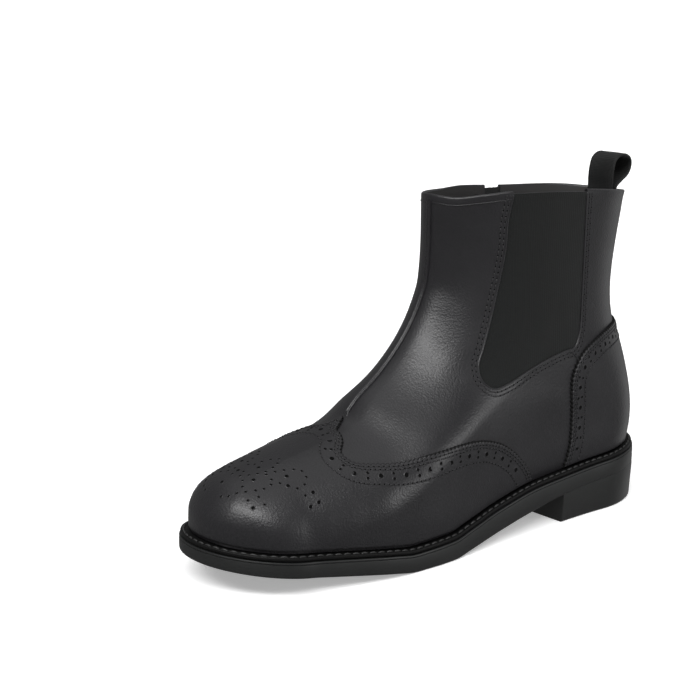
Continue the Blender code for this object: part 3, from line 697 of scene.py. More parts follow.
def node_of(tree, kind, inputs=None, **settings):
    node = tree.nodes.new(kind)
    for key, value in settings.items():
        setattr(node, key, value)
    for key, value in (inputs or {}).items():
        if isinstance(value, bpy.types.NodeSocket):
            tree.links.new(value, node.inputs[key])
        else:
            node.inputs[key].default_value = value
    return node


def arithmetic(tree, operation, first, second=0.0):
    return node_of(tree, "ShaderNodeMath", {0: first, 1: second}, operation=operation).outputs[0]


def ramp(tree, value, low, high, start, end):
    """A value stretched from one range to another."""
    inputs = {"Value": value, "From Min": low, "From Max": high, "To Min": start, "To Max": end}
    return node_of(tree, "ShaderNodeMapRange", inputs).outputs["Result"]


MATERIALS = {}


def material(name, colour, roughness, *grains, spread=0.05, stain=0.1, stain_size=0.02, shader=None):
    """A surface with clouded colour, uneven gloss and layers of relief, each a kind, a size and a depth."""
    surface = bpy.data.materials.new(name)
    surface.use_nodes = True
    tree = surface.node_tree
    principled = tree.nodes["Principled BSDF"]
    place = node_of(tree, "ShaderNodeTexCoord").outputs["Object"]
    clouds = node_of(tree, "ShaderNodeTexNoise", {"Vector": place, "Scale": 1 / stain_size, "Detail": 4.0})
    dark = tuple(channel * (1 - stain) for channel in colour)
    light = tuple(channel * (1 + stain) for channel in colour)
    mix = node_of(tree, "ShaderNodeMix", data_type="RGBA")
    tree.links.new(ramp(tree, clouds.outputs[0], 0.3, 0.7, 0.0, 1.0), mix.inputs["Factor"])
    mix.inputs[6].default_value = (*dark, 1.0)
    mix.inputs[7].default_value = (*light, 1.0)
    tree.links.new(mix.outputs[2], principled.inputs["Base Color"])
    gloss = ramp(tree, clouds.outputs[0], 0.3, 0.7, roughness - spread, roughness + spread)
    tree.links.new(gloss, principled.inputs["Roughness"])
    normal = None
    for kind, size, depth in grains:
        if kind == "cells":
            inputs = {"Vector": place, "Scale": 1 / size}
            height = node_of(tree, "ShaderNodeTexVoronoi", inputs, feature="SMOOTH_F1").outputs["Distance"]
        elif kind == "cloth":
            height = cloth(tree, place, size)
        else:
            inputs = {"Vector": place, "Scale": 1 / size, "Detail": 3.0}
            height = node_of(tree, "ShaderNodeTexNoise", inputs).outputs[0]
        bump = node_of(tree, "ShaderNodeBump", {"Height": height, "Strength": 1.0, "Distance": depth})
        if normal:
            tree.links.new(normal, bump.inputs["Normal"])
        normal = bump.outputs["Normal"]
    if normal:
        tree.links.new(normal, principled.inputs["Normal"])
    for key, value in (shader or {}).items():
        principled.inputs[key].default_value = value
    surface.diffuse_color = (*colour, 1.0)
    MATERIALS[name] = surface
    return surface


def cloth(tree, place, size):
    """Threads that run up and along."""
    inputs = {"Vector": place, "Scale": 0.314 / size, "Distortion": 0.4}
    waves = [node_of(tree, "ShaderNodeTexWave", inputs, wave_type="BANDS", bands_direction=axis)
             for axis in "ZX"]
    return arithmetic(tree, "ADD", waves[0].outputs["Fac"], waves[1].outputs["Fac"])


LEATHER = "black leather"
LINING = "lining"
ELASTIC = "elastic"
RUBBER = "sole rubber"
WELTING = "welt"
THREAD = "thread"
THICK_THREAD = "welt thread"
HOLE_SHADE = "dark hollow"
EDGE_AND_SHADE = "cut edge"
TAPE = "zip tape"
TEETH = "zip teeth"
METAL = "zip metal"
WEBBING = "webbing"

material(LEATHER, (0.0098, 0.0094, 0.0108), 0.37, ("cells", 0.0009, 0.00009), ("noise", 0.0005, 0.00005),
         ("noise", 0.009, 0.00004), spread=0.04, stain_size=0.030)
material(LINING, (0.020, 0.019, 0.019), 0.75, ("noise", 0.0007, 0.00008), spread=0.08, stain=0.2)
material(ELASTIC, (0.0042, 0.0048, 0.0046), 0.85, ("cloth", 0.0007, 0.00005), ("noise", 0.0006, 0.00004),
         shader={"Sheen Weight": 0.06, "Sheen Roughness": 0.5, "Specular IOR Level": 0.25})
material(RUBBER, (0.0075, 0.0080, 0.0078), 0.46, ("noise", 0.0012, 0.00004), ("noise", 0.006, 0.00006),
         stain_size=0.04)
# The welt is near-black, far darker than the upper's leather: its own black plus painted shade for the shade
# under the upper's edge.
material(WELTING, (0.0018, 0.0018, 0.0018), 0.55, ("noise", 0.0012, 0.00007), spread=0.06, stain=0.15,
         shader={"Specular IOR Level": 0.2})
material(THREAD, (0.010, 0.0095, 0.011), 0.60, ("noise", 0.0003, 0.00005), stain=0.2, stain_size=0.004)
material(THICK_THREAD, (0.018, 0.018, 0.018), 0.55, ("noise", 0.0004, 0.00008), stain=0.3,
         stain_size=0.004)
# Flat matte near-black for the insides of punched holes and needle holes: painted shade in the holes.
material(HOLE_SHADE, (0.002, 0.002, 0.002), 0.95, spread=0.0, shader={"Specular IOR Level": 0.1})
# Dark matte for the overlays' cut edges: partly the edge's own finish, partly painted shade along the
# overlay's step.
material(EDGE_AND_SHADE, (0.003, 0.003, 0.003), 0.85, spread=0.0, stain=0.2,
         shader={"Specular IOR Level": 0.2})
material(TAPE, (0.009, 0.009, 0.0095), 0.85, ("cloth", 0.0005, 0.00006), spread=0.04)
material(TEETH, (0.015, 0.015, 0.016), 0.45, ("noise", 0.0006, 0.00003), spread=0.04)
material(METAL, (0.80, 0.79, 0.77), 0.24, ("noise", 0.0006, 0.00002), spread=0.06, stain=0.06,
         stain_size=0.002, shader={"Metallic": 1.0})
material(WEBBING, (0.0038, 0.0042, 0.0041), 0.70, ("cloth", 0.0008, 0.00005), ("noise", 0.0005, 0.00003),
         stain=0.12, shader={"Sheen Weight": 0.04, "Sheen Roughness": 0.5, "Specular IOR Level": 0.35})


def prism(outline, start, end):
    """A closed outline of the side view, carried across the boot."""
    count = len(outline)
    points = [(along + SHIFT[0], aside + SHIFT[1], height)
              for aside in (start, end) for along, height in outline]
    faces = [(i, (i + 1) % count, (i + 1) % count + count, i + count) for i in range(count)]
    faces += [tuple(range(count))[::-1], tuple(range(count, 2 * count))]
    thing = add_mesh("cutter", points, faces, [LEATHER], flat=True)
    orient(thing)
    return thing


def cut(thing, cutter):
    boolean = thing.modifiers.new("cut", "BOOLEAN")
    boolean.operation = "DIFFERENCE"
    boolean.solver = "EXACT"
    boolean.object = cutter
    graph = bpy.context.evaluated_depsgraph_get()
    mesh = bpy.data.meshes.new_from_object(thing.evaluated_get(graph))
    thing.modifiers.clear()
    thing.data = mesh
    bpy.data.objects.remove(cutter)


def band(corners, width, count):
    """Outline of a band of one width along a line in the side view."""
    line = smooth_line(placed(corners), count)
    run = unit(np.gradient(line, axis=0))
    normal = np.stack((-run[:, 1], run[:, 0]), -1) * width / 2
    return np.concatenate((line + normal, (line - normal)[::-1])).tolist()


def make_upper():
    turns = np.linspace(0, TURN, UPPER_TURNS + 1)[:-1]
    outer = cover(np.linspace(0, 1, UPPER_RINGS)[:, None], turns[None])
    inner = cover(np.linspace(1, 0, LINING_RINGS)[:, None], turns[None], -WALL)
    normals = normals_at(1.0, turns)
    up = unit(slopes_at(1.0, turns)[0])
    middle = (outer[-1] + inner[0]) / 2
    rim = []
    for angle in np.linspace(0, math.pi, RIM_STEPS + 2)[1:-1]:
        rim.append(middle + WALL / 2 * (normals * math.cos(angle) + up * math.sin(angle)))
    points = np.concatenate((outer, np.array(rim), inner))
    rows = len(points)
    faces = grid_faces(rows, UPPER_TURNS, loop_rows=True, loop_columns=True)
    lined = (np.arange(rows) >= UPPER_RINGS + RIM_STEPS).repeat(UPPER_TURNS)
    upper = add_mesh("upper_leather", points, faces, [LEATHER, LINING], lined)
    cut(upper, prism(smooth_line(placed(GUSSET_EDGE), 180).tolist(), SIDE_START, CUTTER_REACH))
    cut(upper, prism(band(ZIP_LINE, ZIP_OPENING, 60), -CUTTER_REACH, -SIDE_START))
    return finish(upper, ("upper",), angle=42)


def wing_line():
    """The wing's edge, from its inner foot over the ridge to its outer foot."""
    corners = WING_EDGE + (Corner(WING_FOOT, 0.150),)
    outer = side_line(corners, LATERAL, 240)
    ring = np.concatenate(([WING_PEAK], outer.ring[outer.turn < FRONT_TURN]))
    turn = np.concatenate(([math.pi], outer.turn[outer.turn < FRONT_TURN]))
    return Line(np.concatenate((ring[:0:-1], ring)), np.concatenate((TURN - turn[:0:-1], turn)))


def counter_line():
    """The counter's edge, from its outer foot over the back to its inner foot."""
    corners = COUNTER_EDGE[1:] + (Corner(COUNTER_FOOT, 0.150),)
    outer = side_line(corners, LATERAL, 240)
    ring = np.concatenate((outer.ring[::-1], [COUNTER_PEAK], outer.ring))
    turn = np.concatenate((outer.turn[::-1], [0.0], -outer.turn))
    return Line(ring, turn)


def overlay(name, line, columns, foot_turn):
    """A leather shape on the upper, with a pinked edge along its line and its foot on the welt."""
    line = line.spread(columns)
    nicks = PINK_DEPTH * np.abs(np.sin(math.pi * line.run / PINK_PITCH))
    ends = np.minimum(line.run, line.length - line.run)
    nicks = nicks * smooth_step(ends, 0, 0.003)
    rows = []
    for inward, proud in OVERLAY_EDGE:
        share = smooth_step(inward, 0.0002, 0.0018)
        moved = line.shifted(inward - nicks * (1 - share))
        rows.append(cover(np.maximum(moved.ring, FOOT_RING), moved.turn, OVERLAY * proud))
    start_ring = np.maximum(moved.ring, FOOT_RING)
    for share in np.linspace(0, 1, OVERLAY_ROWS + 1)[1:]:
        ring = blend(start_ring, FOOT_RING, share)
        turn = blend(moved.turn, foot_turn(line.run / line.length, moved.turn), share)
        rows.append(cover(ring, turn, OVERLAY))
    rows.append(cover(ring, turn, -0.2 * OVERLAY))
    points = np.array(rows)
    # The first three face rows, the edge's wall and its rounding, take the dark edge material: the edge's own
    # finish and painted shade along the step.
    edge_shade_rows = (np.arange(len(points) - 1) < 3).repeat(columns - 1)
    return add_mesh(name, points, grid_faces(len(points), columns), [LEATHER, EDGE_AND_SHADE], edge_shade_rows)


def make_overlays():
    wing = wing_line()
    cap = overlay("wing_cap_leather", wing, 620, lambda share, turn: turn)
    finish(cap, ("wing_cap",), angle=60)
    counter = counter_line()
    start = counter.turn[0]
    wrap = overlay("heel_counter_leather", counter, 520, lambda share, turn: start * (1 - 2 * share))
    finish(wrap, ("heel_counter",), angle=60)
    return wing, counter


def thread_shape(length, width, height, segments=6):
    """One stitch lying along its line, its ends drawn down into their holes."""
    points = []
    for place, size, sink in ((-0.5, 0.0, -0.5), (-0.42, 0.7, -0.25), (-0.15, 1.0, 0.0), (0.15, 1.0, 0.0),
                              (0.42, 0.7, -0.25), (0.5, 0.0, -0.5)):
        for step in range(segments):
            angle = TURN * step / segments
            points.append((length * place, width / 2 * size * math.cos(angle),
                           height * (0.5 * size * math.sin(angle) + 0.3 + sink)))
    return points, grid_faces(6, segments, loop_columns=True)


def dish_shape(radius, segments):
    """One punched hole: a soft raised rim round a flat dark disc, painted shade that stands for the hole's
    hollow.
    """
    points = []
    for size, height in DISH:
        for step in range(segments):
            angle = TURN * step / segments
            points.append((radius * size * math.cos(angle), radius * size * math.sin(angle), height * MM))
    return points, grid_faces(6, segments, loop_columns=True)


def punch(name, radius, frames, segments):
    """Punched holes in their frames, as one mesh, each with a disc of painted shade inside its rim."""
    # The two innermost face rows, the flat disc, take the painted shade material.
    inside = np.repeat([0, 0, 0, 1, 1], segments)
    finish(scattered(name, dish_shape(radius, segments), frames, [LEATHER, HOLE_SHADE], inside))


def stitch_row(line, pitch, proud):
    """Frames for stitches along a line, a pitch apart."""
    count = max(2, int(round(line.length / pitch)))
    middles = (np.arange(count) + 0.5) * line.length / count
    row = Line(*line.at(middles))
    return row.frames(proud)


def join_frames(groups):
    return tuple(np.concatenate([group[k] for group in groups]) for k in range(4))


def sew(name, rows, stitch):
    """Stitches in rows, and the small holes halfway between them that the thread goes down, each a disc of
    painted shade in a soft rim.
    """
    finish(scattered(name + "_stitches", stitch, join_frames(rows), [THREAD]))
    groups = []
    for points, along, aside, normals in rows:
        between = (points[:-1] + points[1:]) / 2
        groups.append((between, along[:-1], aside[:-1], unit(normals[:-1] + normals[1:])))
    punch(name + "_needle_holes", NEEDLE_HOLE, join_frames(groups), 8)


def inner_line(line, offset, round_end, ridge):
    """A line within an overlay's edge, cut where it meets its other half on the ridge, and drawn in to the
    edge near its feet where it is rounded."""
    ends = np.minimum(line.run, line.length - line.run)
    reach = offset * (rounding(ends / round_end) if round_end else 1.0)
    moved = line.shifted(reach)
    gaps = np.linalg.norm(skin(moved.ring, moved.turn)[:, None] - skin(line.ring, line.turn)[None], axis=-1)
    keep = (moved.ring > FOOT_RING) & (gaps.min(axis=1) > reach - 0.05 * offset)
    keep &= np.sign(moved.turn - ridge) == np.sign(line.turn - ridge)
    return Line(moved.ring[keep], moved.turn[keep])


def make_band(name, line, ridge, reach, big_pitch, middle, round_end=0.0):
    """Stitches and punched holes along an overlay's edge."""
    line = line.spread(400)
    rows = [inner_line(line, offset, 0.0, ridge) for offset in EDGE_ROWS]
    rows.append(inner_line(line, reach, round_end, ridge))
    sew(name, [stitch_row(row, STITCH_PITCH, OVERLAY) for row in rows], thread_shape(*SHORT_STITCH))
    holes = inner_line(line, middle, 0.0, ridge).spread(300)
    count = int(holes.length / big_pitch)
    count -= count % 2
    start = (holes.length - count * big_pitch) / 2
    places = start + np.arange(count + 1) * big_pitch
    big = Line(*holes.at(places)).frames(OVERLAY)
    between = start + (np.arange(count) + 0.5) * big_pitch
    small = []
    for aside in (-SMALL_APART, SMALL_APART):
        moved = holes.shifted(aside)
        pair = Line(np.interp(between, holes.run, moved.ring), np.interp(between, holes.run, moved.turn))
        small.append(pair.frames(OVERLAY))
    add_holes(name, BAND_HOLES, (big, join_frames(small)))


def add_holes(name, sizes, groups):
    for label, radius, frames in zip(("big", "small"), sizes, groups):
        punch(name + "_holes_" + label, radius, frames, 14)


def make_medallion():
    """The ornament of holes on the toe, mirrored over the ridge."""
    groups = []
    for holes in (MEDALLION_BIG, MEDALLION_SMALL):
        places = [(hole.along * MM, side * (hole.aside * MM))
                  for hole in holes for side in ((1, -1) if hole.aside else (1,))]
        groups.append(on_top(places))
    add_holes("medallion", MEDALLION_HOLES, groups)


def on_top(places):
    """Frames on the overlay above places of the plan, each along the boot and aside from its centre line."""
    places = np.array(places)
    wanted = np.stack((places[:, 0], centre_line(places[:, 0]) + places[:, 1]), -1)
    ring = np.full(len(places), 0.25)
    turn = math.pi - places[:, 1] / 0.035
    for _ in range(30):
        miss = wanted - skin(ring, turn)[:, :2]
        up, onward = slopes_at(ring, turn)
        size = up[:, 0] * onward[:, 1] - up[:, 1] * onward[:, 0]
        size = np.where(np.abs(size) < 1e-9, 1e-9, size)
        step_ring = (miss[:, 0] * onward[:, 1] - miss[:, 1] * onward[:, 0]) / size
        step_turn = (miss[:, 1] * up[:, 0] - miss[:, 0] * up[:, 1]) / size
        ring = np.clip(ring + np.clip(step_ring, -0.03, 0.03), 0.02, 0.6)
        turn = turn + np.clip(step_turn, -0.08, 0.08)
    points = cover(ring, turn, OVERLAY)
    normals = normals_at(ring, turn)
    along = unit(np.cross(np.array([0.0, 1.0, 0.0]), normals))
    return points, along, np.cross(normals, along), normals


def bead(name, points, normals, radius, segments=8):
    """A round bead of leather along points, with closed ends."""
    along = unit(np.gradient(points, axis=0))
    aside = unit(np.cross(along, normals))
    upward = np.cross(aside, along)
    size = np.full(len(points), radius)
    size[0] = size[-1] = radius * 0.02
    rows = []
    for step in range(segments):
        angle = TURN * step / segments
        rows.append(points + (aside * math.cos(angle) + upward * math.sin(angle)) * size[:, None])
    stacked = np.array(rows).transpose(1, 0, 2)
    thing = add_mesh(name, stacked, grid_faces(len(points), segments, loop_columns=True), [LEATHER])
    finish(thing)


def line_below_collar(curve, side):
    """A curve of the side view as a line on the upper, ended just below the collar's edge."""
    ring, turn = ring_turn(curve[:, 0], curve[:, 1], side)
    return Line(ring[ring < BELOW_COLLAR], turn[ring < BELOW_COLLAR])


def gusset_line():
    """The gusset's opening on the upper, from the collar's front down and round to the collar's rear."""
    return line_below_collar(smooth_line(placed(GUSSET_EDGE), 600), LATERAL)


def make_gusset():
    """The elastic: a ribbed sheet in the opening, hemmed along its top and tucked under the leather."""
    curve = smooth_line(placed(GUSSET_EDGE), 600)
    middle = curve.mean(axis=0)
    curve = curve + unit(curve - middle) * TUCK
    alongs = np.linspace(curve[:, 0].min() + MM / 10, curve[:, 0].max() - MM / 10, GUSSET_COLUMNS)
    lowest = []
    highest = []
    for along in alongs:
        crossings = []
        for start, end in zip(curve, curve[1:]):
            if (start[0] - along) * (end[0] - along) <= 0 and start[0] != end[0]:
                crossings.append(blend(start[1], end[1], (along - start[0]) / (end[0] - start[0])))
        lowest.append(min(crossings))
        highest.append(max(crossings) if len(crossings) > 1 and max(crossings) - min(crossings) > MM else 1.0)
    share = (alongs / SOLE_LENGTH - BACK_ALONG(1)) / (FRONT_ALONG(1) - BACK_ALONG(1))
    collar_turn = np.arccos(1 - 2 * np.clip(share, 0, 1))
    collar = side_place(np.full(GUSSET_COLUMNS, 1.0), collar_turn)[1]
    highest = np.minimum(np.array(highest), collar - HEM_DROP)
    lowest = np.minimum(np.array(lowest), highest - MM / 2)
    shares = np.linspace(0, 1, GUSSET_ROWS) ** 0.85
    heights = blend(lowest[None], highest[None], shares[:, None])
    along = np.broadcast_to(alongs[None], heights.shape)
    ring, turn = ring_turn(along.ravel(), heights.ravel(), np.full(heights.size, LATERAL))
    ribs = RIB_DEPTH * np.cos(TURN * along / RIB_PITCH)
    hem = HEM_RISE * smooth_step(heights, collar[None] - HEM_DEPTH - 0.0004, collar[None] - HEM_DEPTH)
    face = cover(ring, turn, (-RECESS + ribs + hem).ravel()).reshape(heights.shape + (3,))
    back = cover(ring, turn, (-RECESS - FILLING - ribs).ravel()).reshape(heights.shape + (3,))
    sheet = np.concatenate((face, back[::-1]))
    rows = len(sheet)
    faces = grid_faces(rows, GUSSET_COLUMNS, loop_rows=True)
    for column in (0, GUSSET_COLUMNS - 1):
        for i in range(GUSSET_ROWS - 1):
            a, b = i, i + 1
            c, d = rows - 2 - i, rows - 1 - i
            faces.append(tuple(row * GUSSET_COLUMNS + column for row in (a, b, c, d)))
    gusset = add_mesh("gusset_elastic", sheet, faces, [ELASTIC])
    finish(gusset, ("gusset",), angle=50)
    line = gusset_line()
    points, _, _, normals = line.spread(420).frames(-BEAD_SINK)
    bead("gusset_edge_bead", points, normals, BEAD)
    rows = []
    for offset in GUSSET_ROWS_OUT:
        rows.append(stitch_row(line.spread(260).shifted(offset), GUSSET_PITCH, 0.0))
    sew("gusset", rows, thread_shape(*LONG_STITCH))


def zip_middle(count):
    return smooth_line(placed(ZIP_LINE), count)


def make_tape(rows, columns):
    """The tape: a closed sheet along the zip's middle line, wider than the opening."""
    line = zip_middle(rows)
    run = unit(np.gradient(line, axis=0))
    normal = np.stack((-run[:, 1], run[:, 0]), -1)
    across = np.linspace(-0.5, 0.5, columns) * (ZIP_OPENING + 2 * TUCK)
    places = line[:, None] + normal[:, None] * across[None, :, None]
    ring, turn = ring_turn(places[..., 0].ravel(), places[..., 1].ravel(), np.full(rows * columns, MEDIAL))
    keep = np.repeat(ring.reshape(rows, columns).max(axis=1) < 0.9995, columns)
    face = cover(ring[keep], turn[keep], -RECESS).reshape(-1, columns, 3)
    back = cover(ring[keep], turn[keep], -RECESS - FILLING).reshape(-1, columns, 3)
    strip("zip_tape_cloth", np.concatenate((face, back[:, ::-1]), axis=1), [TAPE], ("zip_tape",))


def make_zip():
    """The tape under the opening, the coil's teeth along it, and the stitched edges of the leather."""
    make_tape(160, 28)
    middle = line_below_collar(zip_middle(400), MEDIAL)
    count = int(middle.length / TOOTH_PITCH)
    places = (np.arange(count) + 0.5) * middle.length / count
    points, along, aside, normals = Line(*middle.at(places)).frames(0.0001)
    swing = np.where(np.arange(count) % 2, 1, -1)[:, None]
    frames = (points + aside * swing * TOOTH_ASIDE, aside, along, normals)
    teeth = scattered("zip_teeth", tooth_shape(), frames, [TEETH])
    finish(teeth, ("zip_chain",))
    rows = []
    for side in (1, -1):
        edge = middle.spread(260).shifted(side * ZIP_OPENING / 2, 6)
        points, _, _, normals = edge.frames(-BEAD_SINK)
        bead("zip_edge_bead_" + ("rear" if side > 0 else "front"), points, normals, BEAD)
        for offset in ZIP_ROWS_OUT:
            moved = middle.spread(260).shifted(side * (ZIP_OPENING / 2 + offset), 8)
            rows.append(stitch_row(moved, GUSSET_PITCH, 0.0))
    sew("zip", rows, thread_shape(*LONG_STITCH))


def tooth_shape(segments=8):
    """One turn of the coil: a rounded bar across the chain with a swollen head."""
    points = []
    for place, size in ((-0.0016, 0.0), (-0.0015, 0.75), (-0.0006, 0.8), (0.0004, 1.0), (0.0010, 1.15),
                        (0.0014, 0.7), (0.0015, 0.0)):
        for step in range(segments):
            angle = TURN * step / segments
            points.append((place, 0.00048 * size * math.cos(angle),
                           0.00055 * size * math.sin(angle) + 0.0002))
    return points, grid_faces(7, segments, loop_columns=True)


def strip(name, sections, materials, replaced, angle=50):
    """A closed strip lofted through sections that each have the same number of points."""
    sections = np.array(sections)
    rows, count = sections.shape[:2]
    faces = grid_faces(rows, count, loop_columns=True)
    faces += [tuple(range(count)), tuple(range((rows - 1) * count, rows * count))[::-1]]
    finish(add_mesh(name, sections, faces, materials), replaced, angle=angle)


def make_seam(name, node, turn, start, width, height, groove):
    """A raised seam up one of the upper's ridges, rounded above, with a fine groove where it has one."""
    rings = np.linspace(start, SEAM_TOP, 130)
    points = cover(rings, np.full(130, turn), 0.0)
    along = unit(np.gradient(points, axis=0))
    normals = normals_at(rings, np.full(130, turn))
    normals = unit(normals - along * (normals * along).sum(-1, keepdims=True))
    aside = unit(np.cross(along, normals))
    shape = []
    for step in range(13):
        across = -1 + 2 * step / 12
        proud = rounding((1 - abs(across)) / 0.45)
        if groove:
            proud -= groove * math.exp(-(across / 0.16) ** 2)
        shape.append((across * width / 2, GAP + height * proud))
    shape += [(width / 2, -0.0003), (-width / 2, -0.0003)]
    grow = smooth_step(np.arange(130), 0, 5)[:, None]
    sections = []
    for i in range(130):
        sink = -curve_sink(rings[i], turn, width)
        sections.append([points[i] + aside[i] * a + normals[i] * (b * grow[i] + sink * (a / width * 2) ** 2)
                         for a, b in shape])
    strip(name, sections, [LEATHER], (node,), 60)


def make_folds():
    """The collar's folded edge on the front panel and the quarter's short edge behind the gusset."""
    turns = np.linspace(gusset_line().turn[0], FOLD_END, 240)
    rings = np.full(240, 1 - COLLAR_FOLD / COLLAR_HEIGHT)
    curve = smooth_line(placed(CORNER_FOLD), 60)
    folds_drawn = (("collar_fold", rings, turns, COLLAR_BEAD),
                   ("quarter_edge", *ring_turn(*curve.T, LATERAL), CORNER_BEAD))
    for name, ring, turn, radius in folds_drawn:
        bead(name, cover(ring, turn), normals_at(ring, turn), radius)


def curve_sink(ring, turn, width):
    """How far the upper falls away at the seam's edges."""
    centre = skin(ring, turn)
    beside = skin(np.full(40, ring), turn + np.linspace(0, 0.35, 40))
    reach = np.abs(beside[:, 1] - centre[1])
    share = min(np.searchsorted(reach, width / 2), 39)
    return float(np.linalg.norm((beside[share] - centre)[[0, 2]]))


def back_at(height):
    """Where the back profile lies at a height, and at its top for all that is above."""
    order = np.argsort(BACK_LINE[:, 1])
    return np.interp(height, BACK_LINE[order, 1], BACK_LINE[order, 0])


def collar_bow(aside):
    """How far the back of the collar has come forward at a distance from the middle."""
    share = aside / (BALL_WIDTH * SHAFT_HALF(1.0) - WALL)
    return SHAFT_ROUND * (1 - np.sqrt(1 - share * share))


def make_loop():
    """The pull loop of webbing: both ends inside the collar, its bow up and back over it."""
    wall = BACK_LINE[-1]
    start = wall + np.array([WALL + LOOP_CLEARANCE + LOOP_THICKNESS / 2, 0])
    path = np.array([start + (SOLE_LENGTH * step.along, COLLAR_HEIGHT * step.height) for step in LOOP_PATH])
    path[:, 0] += back_at(path[:, 1]) - wall[0]
    path = smooth_line(path, 150)
    run = unit(np.gradient(path, axis=0))
    normal = np.stack((-run[:, 1], run[:, 0]), -1)
    bend = blend(1.0, LOOP_TOP_BEND, smooth_step(path[:, 1], wall[1], path[:, 1].max()))
    across = np.linspace(-1, 1, 33)
    thick = LOOP_THICKNESS / 2 * (0.86 + 0.14 * np.exp(-((np.abs(across) - 0.93) / 0.05) ** 2))
    thick = thick * rounding((1 - np.abs(across)) / 0.05 + 0.08)
    outline = np.concatenate((np.stack((across, thick), -1), np.stack((across[::-1], -thick[::-1]), -1)))
    sections = []
    for i, here in enumerate(path):
        aside = outline[:, 0] * LOOP_WIDTH / 2
        bow = bend[i] * collar_bow(aside)
        sections.append(np.stack((here[0] + normal[i, 0] * outline[:, 1] + bow + SHIFT[0], aside + SHIFT[1],
                                  here[1] + normal[i, 1] * outline[:, 1]), -1))
    strip("pull_loop_webbing", sections, [WEBBING], ("pull_loop",), 60)


def plan_ring(start, end, inset, height, count, margin=0.0, round_front=True):
    """A ring of points within the sole's edge: forward on its outer side and back on its inner side."""
    if round_front:
        share = (1 - np.cos(np.linspace(0, math.pi, count))) / 2
        first, last = start + inset, end - inset
    else:
        share = 1 - np.cos(np.linspace(0, math.pi / 2, count))
        first, last = start + inset, end
    along = blend(first, last, share)
    halves = []
    for side in (LATERAL, MEDIAL):
        wide = sole_width(along, side) - margin - inset
        wide = wide * rounding((along - first) / (HEEL_ROUND - margin - inset))
        if round_front:
            wide = wide * rounding((last - along) / (TOE_ROUND - margin - inset))
        halves.append(np.stack((along, centre_line(along) + side * wide, height(along)), -1))
    return np.concatenate((halves[0], halves[1][::-1])) + SHIFT


def sole_slab(name, node, levels, start, end, material, margin=0.0, round_front=True, count=150):
    """A piece of the sole lofted through levels that each have an inset and a height."""
    rows = [plan_ring(start, end, inset, height, count, margin, round_front) for inset, height in levels]
    size = 2 * count
    faces = grid_faces(len(rows), size, loop_columns=True)
    for row in (0, len(rows) - 1):
        base = row * size
        last = base + size - 1
        faces += [(base + i, base + i + 1, last - 1 - i, last - i) for i in range(count - 1)]
    finish(add_mesh(name, rows, faces, [material]), (node,), angle=35)


def above(base, lift=0.0):
    """Heights above a surface of the sole."""
    return lambda along: base(along) + lift


def welt_foot(along):
    return welt_top(along) - WELT_THICKNESS - GAP


def heel_top(along):
    return ground(along) - GAP


def make_outsole():
    """The outsole with soft lower edges and a fine groove below its upper edge."""
    soft = EDGE_SOFTENING
    levels = [(soft * inset, above(ground, soft * lift))
              for inset, lift in ((1.0, 0.0), (0.6, 0.08), (0.3, 0.28), (0.08, 0.6), (0.0, 1.0))]
    levels += [(inset, above(welt_foot, -drop)) for inset, drop in (
        (0.0, 0.0018), (0.0001, 0.0013), (0.00042, 0.0011), (0.00042, 0.0009), (0.00005, 0.0007),
        (0.00005, 0.0004), (0.0002, 0.0001), (0.0006, 0.0))]
    sole_slab("outsole_rubber", "outsole", levels, 0.0, SOLE_LENGTH, RUBBER)


def make_heel():
    """The heel block with a soft lower edge, its top a little over the outsole's foot."""
    soft = EDGE_SOFTENING
    levels = [(HEEL_TAPER + soft * inset, above(np.zeros_like, soft * lift))
              for inset, lift in ((1.0, 0.0), (0.4, 0.15), (0.1, 0.5), (0.0, 1.0))]
    levels.append((HEEL_TAPER * 0.5, lambda along: heel_top(along) * 0.5))
    levels += [(inset, above(heel_top, lift)) for inset, lift in (
        (0.00005, -0.0020), (0.00005, 0.0008), (0.00025, 0.0010), (0.0012, 0.0010))]
    breast = SOLE_LENGTH * BREAST
    sole_slab("heel_rubber", "heel", levels, 0.0, breast, RUBBER, round_front=False)


def make_welt():
    """The welt: a ring on the outsole with a groove that holds a row of thick stitches."""
    inner = WELT_SHOW + WALL + 0.0022
    full = WELT_THICKNESS
    section = [(inner, GAP), (WELT_INSET + 0.0004, GAP), (WELT_INSET + 0.0001, GAP + 0.0002),
               (WELT_INSET, GAP + 0.0005), (WELT_INSET, full - 0.0005), (WELT_INSET + 0.00012, full - 0.0002),
               (WELT_INSET + 0.0004, full), (0.00150, full), (0.00170, full - 0.0003),
               (0.00250, full - 0.0003), (0.00270, full), (0.0032, full), (inner, full)]
    rows = [plan_ring(0.0, SOLE_LENGTH, inset, above(welt_foot, lift), 180) for inset, lift in section]
    thing = add_mesh("welt_leather", rows, grid_faces(len(rows), 360, True, True), [WELTING])
    finish(thing, ("welt",), angle=40)
    loop = plan_ring(0.0, SOLE_LENGTH, 0.0021, above(welt_top, -GAP - 0.0001), 400)
    length = np.linalg.norm(np.diff(loop, axis=0), axis=1).sum()
    spots = even(loop, int(length / WELT_PITCH) + 1)[:-1]
    direction = unit(np.roll(spots, -1, axis=0) - np.roll(spots, 1, axis=0))
    upward = unit(np.cross(direction, np.cross(np.array([0.0, 0.0, 1.0]), direction)))
    frames = (spots, direction, np.cross(upward, direction), upward)
    finish(scattered("welt_stitches", thread_shape(*WELT_STITCH), frames, [THICK_THREAD]))


